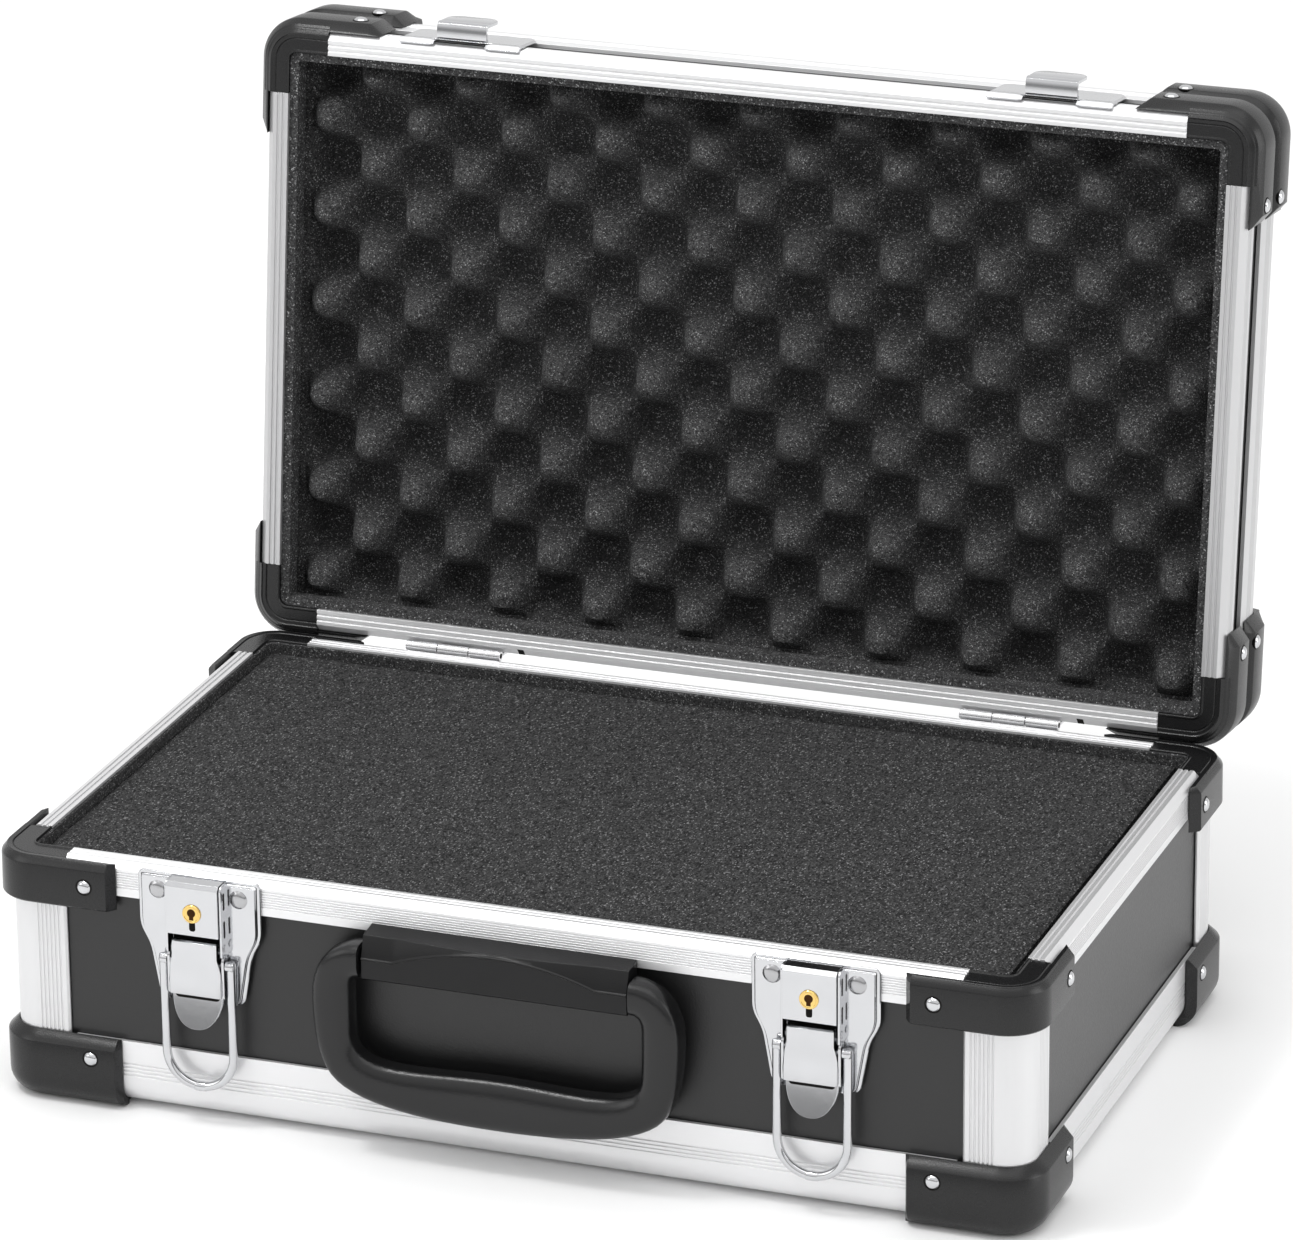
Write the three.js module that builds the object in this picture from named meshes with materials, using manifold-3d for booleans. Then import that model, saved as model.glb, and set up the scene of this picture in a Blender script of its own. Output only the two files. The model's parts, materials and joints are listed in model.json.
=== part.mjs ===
// Aluminium attache case, standing open: a boarded base and lid framed in aluminium rails, with moulded
// corner caps, two draw latches with locks, a swinging grip and foam inside.
// Millimetres, +Z up, front towards -Y. The case stands on z = 0, and the whole open case is centred on x and y.
import * as THREE from "three";
import { mergeVertices } from "three/addons/utils/BufferGeometryUtils.js";
import Module from "manifold-3d";

const wasm = await Module();
wasm.setup();

// ---- Driving dimensions --------------------------------------------------------------------------------------
// The mouth of the case is measured to the outer edge of its lip. "Out" is a distance outwards from that edge.
const MOUTH_X = 355;
const MOUTH_Y = 212.7;
const HALF_X = MOUTH_X / 2;
const HALF_Y = MOUTH_Y / 2;
const RIM_HEIGHT = 89.5; // from the floor to the plane of the base's lip
const LID_DEPTH = 43.5; // from the plane of the lid's lip to the outside of its caps
const OPEN_ANGLE = THREE.MathUtils.degToRad(96.59); // how far the lid stands open
const CLOSED_GAP = 0.4; // between the two lips when the lid is shut
const FIT = 0.3; // air between two pieces that touch

const LIP_WIDTH = 5.5;
const RAIL_OUT = 2.4; // outer face of every rail and post
const RAIL_WALL = 1.5;
const RIB_DEPTH = 0.35; // of the fine ribs on the rails and posts
const BOARD_OUT = RAIL_OUT - RAIL_WALL - FIT; // outer face of the boards
const BOARD_THICK = 4.3;
const BOARD_DOWN = 2.6; // edge of the boards, inside the rim rails' channel, from the lip plane
const CAP_OUT = 6.5; // outer face of the corner caps
const CAP_IN = RAIL_OUT + FIT; // inner face of the corner caps
const CAP_SKIN = 1; // how far a cap stands proud of the flat outside of the rails
const CORNER = 8.5; // plan radius of the corner at the lip's outer edge
const ARC_STEPS = 6; // straight stretches in a quarter of a round corner
const BEYOND = 60; // reach of a cutter that goes well past its piece

const LIP_END = 20.3; // from the corner of the mouth to the end of the aluminium rim rail
const EDGE_END = 22; // from the corner of the mouth to the end of an edge rail
const ARM_X = 39; // length of a cap's arm along the front or back
const ARM_Y = 35.35; // length of a cap's arm along a side

// One table for the two halves of the case, each measured from its own lip plane and outer flat.
const BASE = {
  railFace: 12,
  railRibs: 7,
  capHeight: 16.8,
  capRidge: 4.3, // how far out a rim cap's flat top reaches
  capBevel: 2.8, // depth at which a rim cap's bevel ends and its side begins
  edgeHeight: 23.5,
  edgeCapHeight: 25.3,
};
const LID = {
  railFace: 10,
  railRibs: 5,
  capHeight: 17.5,
  capRidge: 1.6,
  capBevel: 5.2,
  edgeHeight: 23,
  edgeCapHeight: 21,
};
const EDGE_RADIUS = 8; // round outer edge of the edge rails and of the caps over them
const LEDGE_DROP = 3; // slope of the ledge where an edge cap ends against the rail
const EDGE_FLANGE = 22; // how far an edge rail and its cap reach in under the flat outside

const HINGE_OUT = 3.35; // hinge axis, outwards from the lip's back edge
const HINGE_UP = 0.65; // hinge axis, above the base's lip plane
const HINGE_X = 104;
const HINGE_WIDTH = 36;

const LATCH_X = 108; // centre of each latch and its strike plate, from the middle of the case
const BASE_FOAM_DOWN = 3.5; // top of the base's foam, below the lip plane
const LID_FOAM_UP = 2; // face of the lid's foam, above the lip plane
const FOAM_IN = LIP_WIDTH + 0.6; // edge of both foams, in from the lip's outer edge

// ---- Materials -----------------------------------------------------------------------------------------------
const finish = (color, roughness, metalness) => new THREE.MeshStandardMaterial({ color, roughness, metalness });
const aluminium = () => finish(0xdcdde0, 0.35, 1);
const board = () => finish(0x2c2c2e, 0.6, 0);
const blackPlastic = () => finish(0x1a1a1c, 0.45, 0);
const chrome = () => finish(0xe6e7ea, 0.12, 1);
const brass = () => finish(0xc9a24a, 0.25, 1);
const foam = () => finish(0x242426, 0.95, 0);

// ---- Solids --------------------------------------------------------------------------------------------------
// A closed geometry as a manifold-3d solid, without the slivers of no area that a lathe leaves on its axis.
function solid(geometry) {
  const bare = geometry.clone();
  bare.deleteAttribute("normal");
  bare.deleteAttribute("uv");
  const merged = mergeVertices(bare, 1e-4);
  const corners = merged.index.array;
  const triangles = [];
  for (let i = 0; i < corners.length; i += 3) {
    const [a, b, c] = corners.subarray(i, i + 3);
    if (a !== b && b !== c && c !== a) triangles.push(a, b, c);
  }
  const vertProperties = merged.attributes.position.array;
  return new wasm.Manifold(new wasm.Mesh({ numProp: 3, vertProperties, triVerts: Uint32Array.from(triangles) }));
}

function geometryOf(body) {
  const made = body.getMesh();
  const geometry = new THREE.BufferGeometry();
  geometry.setAttribute("position", new THREE.BufferAttribute(made.vertProperties, 3));
  geometry.setIndex(new THREE.BufferAttribute(made.triVerts, 1));
  const flat = geometry.toNonIndexed();
  flat.computeVertexNormals();
  return flat;
}

function piece(name, body, material) {
  const mesh = new THREE.Mesh(geometryOf(body), material);
  mesh.name = name;
  return mesh;
}

const joined = (first, ...others) => others.reduce((sum, other) => sum.add(other), first);
const cut = (first, ...others) => others.reduce((rest, other) => rest.subtract(other), first);

// A box between two opposite corners, in any order.
function block([x0, y0, z0], [x1, y1, z1]) {
  const geometry = new THREE.BoxGeometry(Math.abs(x1 - x0), Math.abs(y1 - y0), Math.abs(z1 - z0));
  return solid(geometry.translate((x0 + x1) / 2, (y0 + y1) / 2, (z0 + z1) / 2));
}

const shapeOf = (points) => new THREE.Shape(points.map(([x, y]) => new THREE.Vector2(x, y)));

// An outline in the XY plane, drawn up along Z from z0 to z1.
function upright(points, z0, z1) {
  const geometry = new THREE.ExtrudeGeometry(shapeOf(points), { depth: z1 - z0, bevelEnabled: false });
  return solid(geometry.translate(0, 0, z0));
}

// A cross-section of [out, height] points, drawn along X between two ends, with out along +Y and height along +Z.
function alongX(points, end, otherEnd) {
  const turned = new THREE.Matrix4().makeBasis(
    new THREE.Vector3(0, 1, 0),
    new THREE.Vector3(0, 0, 1),
    new THREE.Vector3(1, 0, 0),
  );
  const depth = Math.abs(otherEnd - end);
  const geometry = new THREE.ExtrudeGeometry(shapeOf(points), { depth, bevelEnabled: false });
  return solid(geometry.applyMatrix4(turned).translate(Math.min(end, otherEnd), 0, 0));
}

// The same cross-section drawn along Y from y0 to y1, with out along +X.
function alongY(points, y0, y1) {
  const geometry = new THREE.ExtrudeGeometry(shapeOf(points), { depth: y1 - y0, bevelEnabled: false });
  return solid(geometry.rotateX(Math.PI / 2).translate(0, y1, 0));
}

// An outline of [x, z] points drawn along Y from y0 to y1.
const facing = alongY;

// A round bar along X, Y or Z, centred on a point.
function bar(axis, radius, length, [x, y, z], sides = 16) {
  const geometry = new THREE.CylinderGeometry(radius, radius, length, sides);
  if (axis === "x") geometry.rotateZ(Math.PI / 2);
  if (axis === "z") geometry.rotateX(Math.PI / 2);
  return solid(geometry.translate(x, y, z));
}

// Points on an arc, both ends included. Angles are in degrees, anticlockwise from the first coordinate's axis.
function arc([cx, cy], radius, from, to, steps = ARC_STEPS) {
  return Array.from({ length: steps + 1 }, (_, i) => {
    const angle = THREE.MathUtils.degToRad(from + ((to - from) * i) / steps);
    return [cx + radius * Math.cos(angle), cy + radius * Math.sin(angle)];
  });
}

// Fine grooves in a straight face that runs from one point to another; left is the side they are cut into.
function grooves([x0, y0], [x1, y1], count, depth) {
  const length = Math.hypot(x1 - x0, y1 - y0);
  const [ux, uy] = [(x1 - x0) / length, (y1 - y0) / length];
  const pitch = length / count;
  const at = (along, into) => [x0 + ux * along - uy * into, y0 + uy * along + ux * into];
  return Array.from({ length: count }, (_, i) => {
    const start = (i + 0.3) * pitch;
    return [at(start, 0), at(start + 0.12 * pitch, depth), at(start + 0.38 * pitch, depth), at(start + 0.5 * pitch, 0)];
  }).flat();
}

// The blank of one rounded corner of the case, at +X +Y: two straight arms that meet in a turned corner. The
// outline is a list of [out, height] points from low to high; the arms are filled for `inward` behind the lip edge.
function cornerBlank(outline, inward, armX, armY) {
  const centreX = HALF_X - CORNER;
  const centreY = HALF_Y - CORNER;
  const low = outline[0][1];
  const high = outline[outline.length - 1][1];
  const section = [[-inward, low], ...outline, [-inward, high]];
  const turned = [[-CORNER, low], ...outline, [-CORNER, high]].map(([out, z]) => new THREE.Vector2(CORNER + out, z));
  const lathe = new THREE.LatheGeometry(turned, 4 * ARC_STEPS).rotateX(Math.PI / 2).translate(centreX, centreY, 0);
  const quarter = block([centreX, centreY, low - 1], [HALF_X + BEYOND, HALF_Y + BEYOND, high + 1]);
  const shift = ([out, z], half) => [half + out, z];
  return joined(
    solid(lathe).intersect(quarter),
    alongX(section.map((point) => shift(point, HALF_Y)), HALF_X - armX, centreX),
    alongY(section.map((point) => shift(point, HALF_X)), HALF_Y - armY, centreY),
  );
}

// ---- Rails, posts and caps, shared by the base and the lid ---------------------------------------------------
// A rim rail's section: a grooved lip at height 0, a bevel, a ribbed face, and a channel for the board below.
function rimSection({ railFace, railRibs }) {
  const lipInner = -LIP_WIDTH;
  const innerWall = lipInner + RAIL_WALL;
  const innerDrop = -8; // foot of the lip's inner wall
  const channelTop = -1.9;
  const boardGap = RAIL_OUT - RAIL_WALL;
  const ribsFrom = -RAIL_OUT - 0.6;
  const ribPitch = 0.9;
  return [
    [lipInner, innerDrop],
    [lipInner, 0],
    ...grooves([lipInner + 0.8, 0], [-0.9, 0], 2, -0.4),
    [0, 0],
    [RAIL_OUT, -RAIL_OUT],
    ...grooves([RAIL_OUT, ribsFrom], [RAIL_OUT, ribsFrom - ribPitch * railRibs], railRibs, -RIB_DEPTH),
    [RAIL_OUT, -railFace],
    [boardGap, -railFace],
    [boardGap, channelTop],
    [innerWall, channelTop],
    [innerWall, innerDrop],
  ];
}

// An edge rail's section: a flange on the flat outside at height 0, a round edge and a grooved face.
function edgeSection({ edgeHeight }) {
  const centre = [RAIL_OUT - EDGE_RADIUS, EDGE_RADIUS];
  return [
    [-EDGE_FLANGE, 0],
    ...arc(centre, EDGE_RADIUS, -90, 0),
    ...grooves([RAIL_OUT, EDGE_RADIUS + 2.4], [RAIL_OUT, EDGE_RADIUS + 7.8], 4, 0.4),
    [RAIL_OUT, edgeHeight],
    [RAIL_OUT - RAIL_WALL, edgeHeight],
    ...arc(centre, EDGE_RADIUS - RAIL_WALL, 0, -90),
    [-EDGE_FLANGE, RAIL_WALL],
  ];
}

// A rim cap: bevelled top edge, drafted side, arms outside the rails, and a moulded lip where the rails stop.
function rimCap({ capHeight, capRidge, capBevel }) {
  const lipUnder = -2.3; // underside of the moulded lip
  const outer = [
    [CAP_OUT - 0.6, -capHeight],
    [CAP_OUT, -capHeight + 0.8],
    [CAP_OUT - 0.15, -capBevel],
    [capRidge, -0.4],
    [0.2, 0],
  ];
  const shell = cornerBlank(outer, LIP_WIDTH + 1, ARM_X, ARM_Y);
  const boardRoom = BOARD_OUT + FIT;
  const hollow = [[CAP_IN, -capHeight - 1], [CAP_IN, -11.7], [boardRoom, -10.5], [boardRoom, lipUnder]];
  const inside = cornerBlank(hollow, BEYOND, BEYOND, BEYOND);
  const room = (x, y) => block([0, 0, -BEYOND], [x, y, BEYOND]);
  const mouth = room(HALF_X - LIP_WIDTH, HALF_Y - LIP_WIDTH);
  const railX = room(HALF_X - LIP_END + FIT, HALF_Y + CAP_IN);
  const railY = room(HALF_X + CAP_IN, HALF_Y - LIP_END + FIT);
  return cut(shell, inside, mouth, railX, railY);
}

// A cap on an outer corner: it wraps the ends of two edge rails and the corner between them.
function edgeCap({ edgeCapHeight }) {
  const outer = [
    ...arc([CAP_OUT - EDGE_RADIUS, EDGE_RADIUS], EDGE_RADIUS, -90, 0),
    [CAP_OUT, edgeCapHeight - LEDGE_DROP],
    [CAP_IN + 0.4, edgeCapHeight],
  ];
  const inner = [
    ...arc([RAIL_OUT - EDGE_RADIUS, EDGE_RADIUS + CAP_SKIN + FIT], EDGE_RADIUS + FIT, -90, 0),
    [CAP_IN, edgeCapHeight + 5],
  ];
  return cut(cornerBlank(outer, EDGE_FLANGE, ARM_X, ARM_Y), cornerBlank(inner, BEYOND, BEYOND, BEYOND));
}

// A corner post's plan at +X +Y: a rounded angle with a ribbed strip beside the curve on each face.
function postPlan() {
  const reach = 20;
  const ribs = [reach - 2, CORNER + 0.6]; // distances from the corner between which the ribs lie
  const bevel = 0.8;
  const [x, y] = [HALF_X, HALF_Y];
  const inner = RAIL_OUT - RAIL_WALL;
  const centre = [x - CORNER, y - CORNER];
  return [
    [x - reach, y + inner],
    [x - CORNER, y + inner],
    ...arc(centre, CORNER + inner, 90, 0).slice(1, -1),
    [x + inner, y - CORNER],
    [x + inner, y - reach],
    [x + RAIL_OUT - bevel, y - reach],
    [x + RAIL_OUT, y - reach + bevel],
    ...grooves([x + RAIL_OUT, y - ribs[0]], [x + RAIL_OUT, y - ribs[1]], 6, RIB_DEPTH),
    ...arc(centre, CORNER + RAIL_OUT, 0, 90),
    ...grooves([x - ribs[1], y + RAIL_OUT], [x - ribs[0], y + RAIL_OUT], 6, RIB_DEPTH),
    [x - reach + bevel, y + RAIL_OUT],
    [x - reach, y + RAIL_OUT - bevel],
  ];
}

// The four sides: which way each faces, how far out its lip edge is, and half its length.
const SIDES = {
  front: { turn: Math.PI, reach: HALF_Y, half: HALF_X },
  back: { turn: 0, reach: HALF_Y, half: HALF_X },
  left: { turn: Math.PI / 2, reach: HALF_X, half: HALF_Y },
  right: { turn: -Math.PI / 2, reach: HALF_X, half: HALF_Y },
};
const CORNERS = { front_left: [-1, -1], front_right: [1, -1], back_left: [-1, 1], back_right: [1, 1] };

// Four rails of one section, each shortened at both ends. `flip` turns the section upside down, for the lid.
function rails(prefix, section, shortening, height, flip) {
  return Object.entries(SIDES).map(([side, { turn, reach, half }]) => {
    const length = half - shortening;
    const rail = piece(`${prefix}_${side}`, alongX(section, -length, length), aluminium());
    rail.rotation.z = turn;
    rail.position.set(-Math.sin(turn) * reach, Math.cos(turn) * reach, height);
    rail.scale.z = flip;
    return rail;
  });
}

// A corner piece built at +X +Y, mirrored to all four corners.
function corners(prefix, body, material, height, flip) {
  return Object.entries(CORNERS).map(([corner, [x, y]]) => {
    const part = piece(`${prefix}_${corner}`, body, material());
    part.position.z = height;
    part.scale.set(x, y, flip);
    return part;
  });
}

// ---- Base ----------------------------------------------------------------------------------------------------
const UP = 1;
const DOWN = -1;

function baseBoards() {
  const low = CAP_SKIN + EDGE_RADIUS + 2 * FIT;
  const high = RIM_HEIGHT - BOARD_DOWN;
  const wallEnd = CORNER + 0.5;
  const walls = Object.entries(SIDES).map(([side, { turn, reach, half }]) => {
    const end = half - wallEnd;
    const wall = block([-end, BOARD_OUT - BOARD_THICK, low], [end, BOARD_OUT, high]);
    const mesh = piece(`base_board_${side}`, wall, board());
    mesh.rotation.z = turn;
    mesh.position.set(-Math.sin(turn) * reach, Math.cos(turn) * reach, 0);
    return mesh;
  });
  const floorLow = CAP_SKIN + RAIL_WALL + 2 * FIT;
  const inset = EDGE_RADIUS - RAIL_OUT;
  const floor = block(
    [-HALF_X + inset, -HALF_Y + inset, floorLow],
    [HALF_X - inset, HALF_Y - inset, floorLow + BOARD_THICK],
  );
  return [...walls, piece("base_board_bottom", floor, board())];
}

function baseFoam() {
  const [x, y] = [HALF_X - FOAM_IN, HALF_Y - FOAM_IN];
  const low = CAP_SKIN + RAIL_WALL + BOARD_THICK + 3 * FIT;
  return piece("base_foam", block([-x, -y, low], [x, y, RIM_HEIGHT - BASE_FOAM_DOWN]), foam());
}

function basePosts() {
  const low = CAP_SKIN + EDGE_RADIUS + 2 * FIT + 1;
  const high = RIM_HEIGHT - BASE.railFace - FIT;
  return corners("base_post", upright(postPlan(), low, high), aluminium, 0, UP);
}

// ---- Handle --------------------------------------------------------------------------------------------------
// Built in a frame on the front lip edge: x to the side, y out from the case, z up from the lip plane.
const HANDLE_PIVOT = [8, -17.5]; // out, height
const BRACKET_HALF = 46.5;
const STUB_R = 3; // the round stubs that the grip turns on
const GRIP_BACK = 3.2; // the grip's depth, out from the lip edge
const GRIP_FRONT = 15.2;

function handleBracket() {
  const section = [[2.7, -25], [13.2, -25], [12.7, -15.5], [9, -10.5], [2.7, -9]];
  const whole = alongX(section, -BRACKET_HALF, BRACKET_HALF);
  const bore = (side) => bar("x", STUB_R + FIT, 20, [side * BRACKET_HALF, ...HANDLE_PIVOT]);
  return piece("handle_bracket", cut(whole, bore(-1), bore(1)), blackPlastic());
}

function handleGrip() {
  const outline = new THREE.Shape();
  const half = 64.75;
  const inner = 50.5;
  const end = BRACKET_HALF + FIT;
  const top = -12.8;
  const bottom = -73.5;
  const underBracket = -25.3;
  const bandTop = -58; // top of the lower band at its sides
  const swell = -54.5; // and at its middle
  outline.moveTo(end, top);
  outline.bezierCurveTo(58, top, half, -21, half, -33);
  outline.bezierCurveTo(half, -44, 63.5, -52, 60, -59);
  outline.bezierCurveTo(54, -70, 30, bottom, 0, bottom);
  outline.bezierCurveTo(-30, bottom, -54, -70, -60, -59);
  outline.bezierCurveTo(-63.5, -52, -half, -44, -half, -33);
  outline.bezierCurveTo(-half, -21, -58, top, -end, top);
  outline.lineTo(-end, underBracket);
  outline.lineTo(-inner + 1, underBracket);
  outline.lineTo(-inner, -27);
  outline.lineTo(-inner, -46);
  outline.bezierCurveTo(-inner, -54, -46, bandTop, -38, bandTop);
  outline.bezierCurveTo(-26, bandTop, -14, swell, 0, swell);
  outline.bezierCurveTo(14, swell, 26, bandTop, 38, bandTop);
  outline.bezierCurveTo(46, bandTop, inner, -54, inner, -46);
  outline.lineTo(inner, -27);
  outline.lineTo(inner - 1, underBracket);
  outline.lineTo(end, underBracket);
  const options = { depth: GRIP_FRONT - GRIP_BACK, bevelEnabled: false, curveSegments: 7 };
  const loop = new THREE.ExtrudeGeometry(outline, options).rotateX(Math.PI / 2).translate(0, GRIP_FRONT, 0);
  const stub = (side) => bar("x", STUB_R, 12, [side * (end + 2), ...HANDLE_PIVOT]);
  return piece("handle_grip", joined(solid(loop), stub(-1), stub(1)), blackPlastic());
}

// ---- Latches -------------------------------------------------------------------------------------------------
// Built in the same kind of frame, centred on the latch.
const PLATE_FRONT = 4.5;
const BOX_HALF = 9; // the lock's housing
const BOX_FRONT = 10;
const BOX_LOW = -19.3;
const WALL_IN = 9.4; // the two upright walls that carry the lever
const WALL_OUT = 10.1;
const LEVER_HALF = 9.2;
const LEVER_PIVOT = [7, -23.5];
const BAIL_PIVOT = [6.8, -30];
const BAIL_END = -75; // centre of the wire at the bottom of the loop
const WIRE_R = 1.55;
const WIRE_X = 12.1; // centre of each leg of the bail
const LEVER_PIN_R = 1.2;
const BAIL_PIN_R = 0.9;
const EYE_R = 1.9;
const KEY_HEIGHT = -11.3;
const KEY_R = 3.2;

function latchPlate(name) {
  const back = RAIL_OUT + FIT;
  const outline = [[-22, 0], [-22, -20], [-16.5, -29], [-14, -43], [14, -43], [16.5, -29], [22, -20], [22, 0]];
  const plate = facing(outline, back, PLATE_FRONT);
  const boxSection = [
    [PLATE_FRONT - 0.5, BOX_LOW],
    [BOX_FRONT, BOX_LOW],
    [BOX_FRONT, -2.4],
    [BOX_FRONT - 1.4, -1],
    [PLATE_FRONT - 0.5, -1],
  ];
  const box = alongX(boxSection, -BOX_HALF, BOX_HALF);
  const wallSection = [[4, -27], [8.4, -27], [9, -26.4], [9, BOX_LOW + 1], [4, BOX_LOW + 1]];
  const wall = (side) => alongX(wallSection, side * WALL_IN, side * WALL_OUT);
  const cheek = block([-WALL_OUT, 4, BOX_LOW], [WALL_OUT, 8.4, BOX_LOW + 2]);
  const keyBore = bar("y", KEY_R + FIT, 8, [0, 9.7, KEY_HEIGHT]);
  const keySlot = block([-0.8, 6, KEY_HEIGHT - 6], [0.8, 12, KEY_HEIGHT - 3]);
  const pinBore = bar("x", LEVER_PIN_R + FIT, 30, [0, ...LEVER_PIVOT]);
  const whole = joined(plate, box, cheek, wall(-1), wall(1));
  return piece(name, cut(whole, keyBore, keySlot, pinBore), chrome());
}

function lockCylinder(name) {
  const plug = bar("y", KEY_R, 4.6, [0, 8.3, KEY_HEIGHT], 20);
  const slot = block([-0.55, 8.5, KEY_HEIGHT - 2.2], [0.55, 12, KEY_HEIGHT + 2.2]);
  return piece(name, cut(plug, slot), brass());
}

function latchLever(name) {
  const [top, tip] = [-21.8, -53];
  const section = [
    [8.6, top], [8.6, -40.4], [7.2, -40.8], [6.2, -41.2], [5.8, -43.2], [6.5, -47.2], [8.4, tip],
    [9.6, tip], [7.6, -47], [7, -43.2], [7.4, -42.2], [9.3, -41.8], [9.8, -41.2], [9.8, -22.4], [9.4, top],
  ];
  const roundTip = arc([0, tip + LEVER_HALF], LEVER_HALF, 180, 360, 12);
  const front = [[LEVER_HALF, top + 1], [-LEVER_HALF, top + 1], ...roundTip];
  const blade = alongX(section, -LEVER_HALF, LEVER_HALF).intersect(facing(front, 0, 20));
  const ear = (side) => block([side * 8, 4.9, -34], [side * LEVER_HALF, 8.8, -22.2]);
  const pivotPin = bar("x", LEVER_PIN_R, 2 * WALL_OUT - 0.1, [0, ...LEVER_PIVOT], 12);
  const bailPin = bar("x", BAIL_PIN_R, 27, [0, ...BAIL_PIVOT], 12);
  return piece(name, joined(blade, ear(-1), ear(1), pivotPin, bailPin), chrome());
}

function latchBail(name) {
  const [out, pivot] = BAIL_PIVOT;
  const bend = BAIL_END + WIRE_X;
  const point = ([x, z]) => new THREE.Vector3(x, out, z);
  const turn = arc([0, bend], WIRE_X, 180, 360, 14).map(point);
  const start = pivot - 1.5;
  const stops = [point([-WIRE_X, start]), ...turn, point([WIRE_X, start])];
  const ring = shapeOf(arc([0, 0], WIRE_R, 0, 360, 8).slice(0, -1));
  const wire = new THREE.ExtrudeGeometry(ring, { extrudePath: new THREE.CatmullRomCurve3(stops), steps: 30 });
  const eye = (side) => {
    const middle = [side * WIRE_X, out, pivot];
    return cut(bar("x", EYE_R, 2.8, middle), bar("x", BAIL_PIN_R + FIT, 6, middle));
  };
  return piece(name, joined(solid(wire), eye(-1), eye(1)), chrome());
}

// ---- Hinges --------------------------------------------------------------------------------------------------
// Built about the hinge axis: x along it, y out from the case, z up. `side` is -1 for the base and 1 for the lid.
const KNUCKLE = HINGE_WIDTH / 3;
const KNUCKLE_R = 1.9;
const PIN_R = 0.9;

function hingeLeaf(side, knuckles) {
  const from = RAIL_OUT + 0.4 - HINGE_OUT;
  const to = from + 1;
  const half = HINGE_WIDTH / 2;
  const plate = block([-half, from, side * 2.5], [half, to, side * 13]);
  const tabs = knuckles.map(([x0, x1]) => {
    const barrel = bar("x", KNUCKLE_R, x1 - x0, [(x0 + x1) / 2, 0, 0]);
    return joined(barrel, block([x0, from, 0], [x1, to, side * 3]));
  });
  return joined(plate, ...tabs);
}

function hingeBaseLeaf(name) {
  const half = HINGE_WIDTH / 2;
  const inner = KNUCKLE / 2 + FIT / 2;
  const leaf = hingeLeaf(-1, [[-half, -inner], [inner, half]]);
  const pin = bar("x", PIN_R, HINGE_WIDTH, [0, 0, 0], 12);
  return piece(name, joined(leaf, pin), chrome());
}

function hingeLidLeaf(name) {
  const inner = KNUCKLE / 2 - FIT / 2;
  const bore = bar("x", PIN_R + FIT, HINGE_WIDTH, [0, 0, 0], 12);
  return piece(name, cut(hingeLeaf(1, [[-inner, inner]]), bore), chrome());
}

// ---- Lid -----------------------------------------------------------------------------------------------------
// Built as if shut, in a frame on the lid's lip plane: z is the depth into the lid.
const LID_FLAT = LID_DEPTH - CAP_SKIN - FIT; // flat outside of the lid's rails

// A flat outline with round corners, `out` outside the lip edge.
function roundedPlan(out) {
  const [x, y] = [HALF_X + out, HALF_Y + out];
  const radius = CORNER + out;
  return [
    ...arc([x - radius, y - radius], radius, 0, 90),
    ...arc([-x + radius, y - radius], radius, 90, 180),
    ...arc([-x + radius, -y + radius], radius, 180, 270),
    ...arc([x - radius, -y + radius], radius, 270, 360),
  ];
}

function lidShell() {
  const top = LID_FLAT - RAIL_WALL - FIT;
  const inset = EDGE_RADIUS - RAIL_OUT + 0.6;
  const wallTop = LID_FLAT - EDGE_RADIUS - FIT;
  const walls = upright(roundedPlan(BOARD_OUT), BOARD_DOWN, wallTop);
  const roof = upright(roundedPlan(-inset), wallTop - BOARD_THICK, top);
  const hollow = upright(roundedPlan(BOARD_OUT - BOARD_THICK), 0, wallTop - BOARD_THICK);
  return piece("lid_shell", cut(joined(walls, roof), hollow), board());
}

function lidFoam() {
  const high = LID_FLAT - EDGE_RADIUS - BOARD_THICK - 2 * FIT;
  return piece("lid_foam", upright(roundedPlan(-FOAM_IN), LID_FOAM_UP, high), foam());
}

// A strike plate on the lid's front rail, with a riser and a tongue that the bail is drawn under.
function strikePlate(name) {
  const back = RAIL_OUT + FIT;
  const front = back + 1;
  const half = 22.5;
  const hookHalf = 9.3;
  const low = 3.2;
  const [tongueBack, tongueFront] = [8.7, 9.9];
  const endLength = 6; // of the tongue's round end
  const endFrom = 11.5;
  const plate = block([-half, back, low], [half, front, 21]);
  const wingSection = [[back, 4], [back, 2.2], [1.4, 0.9], [2.1, 0.3], [front, 1.9], [front, 4]];
  const wing = (side) => alongX(wingSection, side * (hookHalf + 0.8), side * half);
  const riser = block([-hookHalf, back, low], [hookHalf, tongueFront, 4.6]);
  const squash = ([x, z]) => [x, endFrom + (z * endLength) / hookHalf];
  const outline = [[-hookHalf, 4], ...arc([0, 0], hookHalf, 180, 0, 12).map(squash), [hookHalf, 4]];
  const tongue = facing(outline, tongueBack, tongueFront);
  return piece(name, joined(plate, wing(-1), wing(1), riser, tongue), chrome());
}

// ---- Assembly ------------------------------------------------------------------------------------------------
const attacheCase = new THREE.Group();

const base = new THREE.Group();
base.add(
  ...baseBoards(),
  ...rails("base_rim", rimSection(BASE), LIP_END, RIM_HEIGHT, UP),
  ...rails("base_edge", edgeSection(BASE), EDGE_END, CAP_SKIN + FIT, UP),
  ...basePosts(),
  ...corners("base_rim_cap", rimCap(BASE), blackPlastic, RIM_HEIGHT, UP),
  ...corners("foot_cap", edgeCap(BASE), blackPlastic, 0, UP),
  baseFoam(),
);

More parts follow.
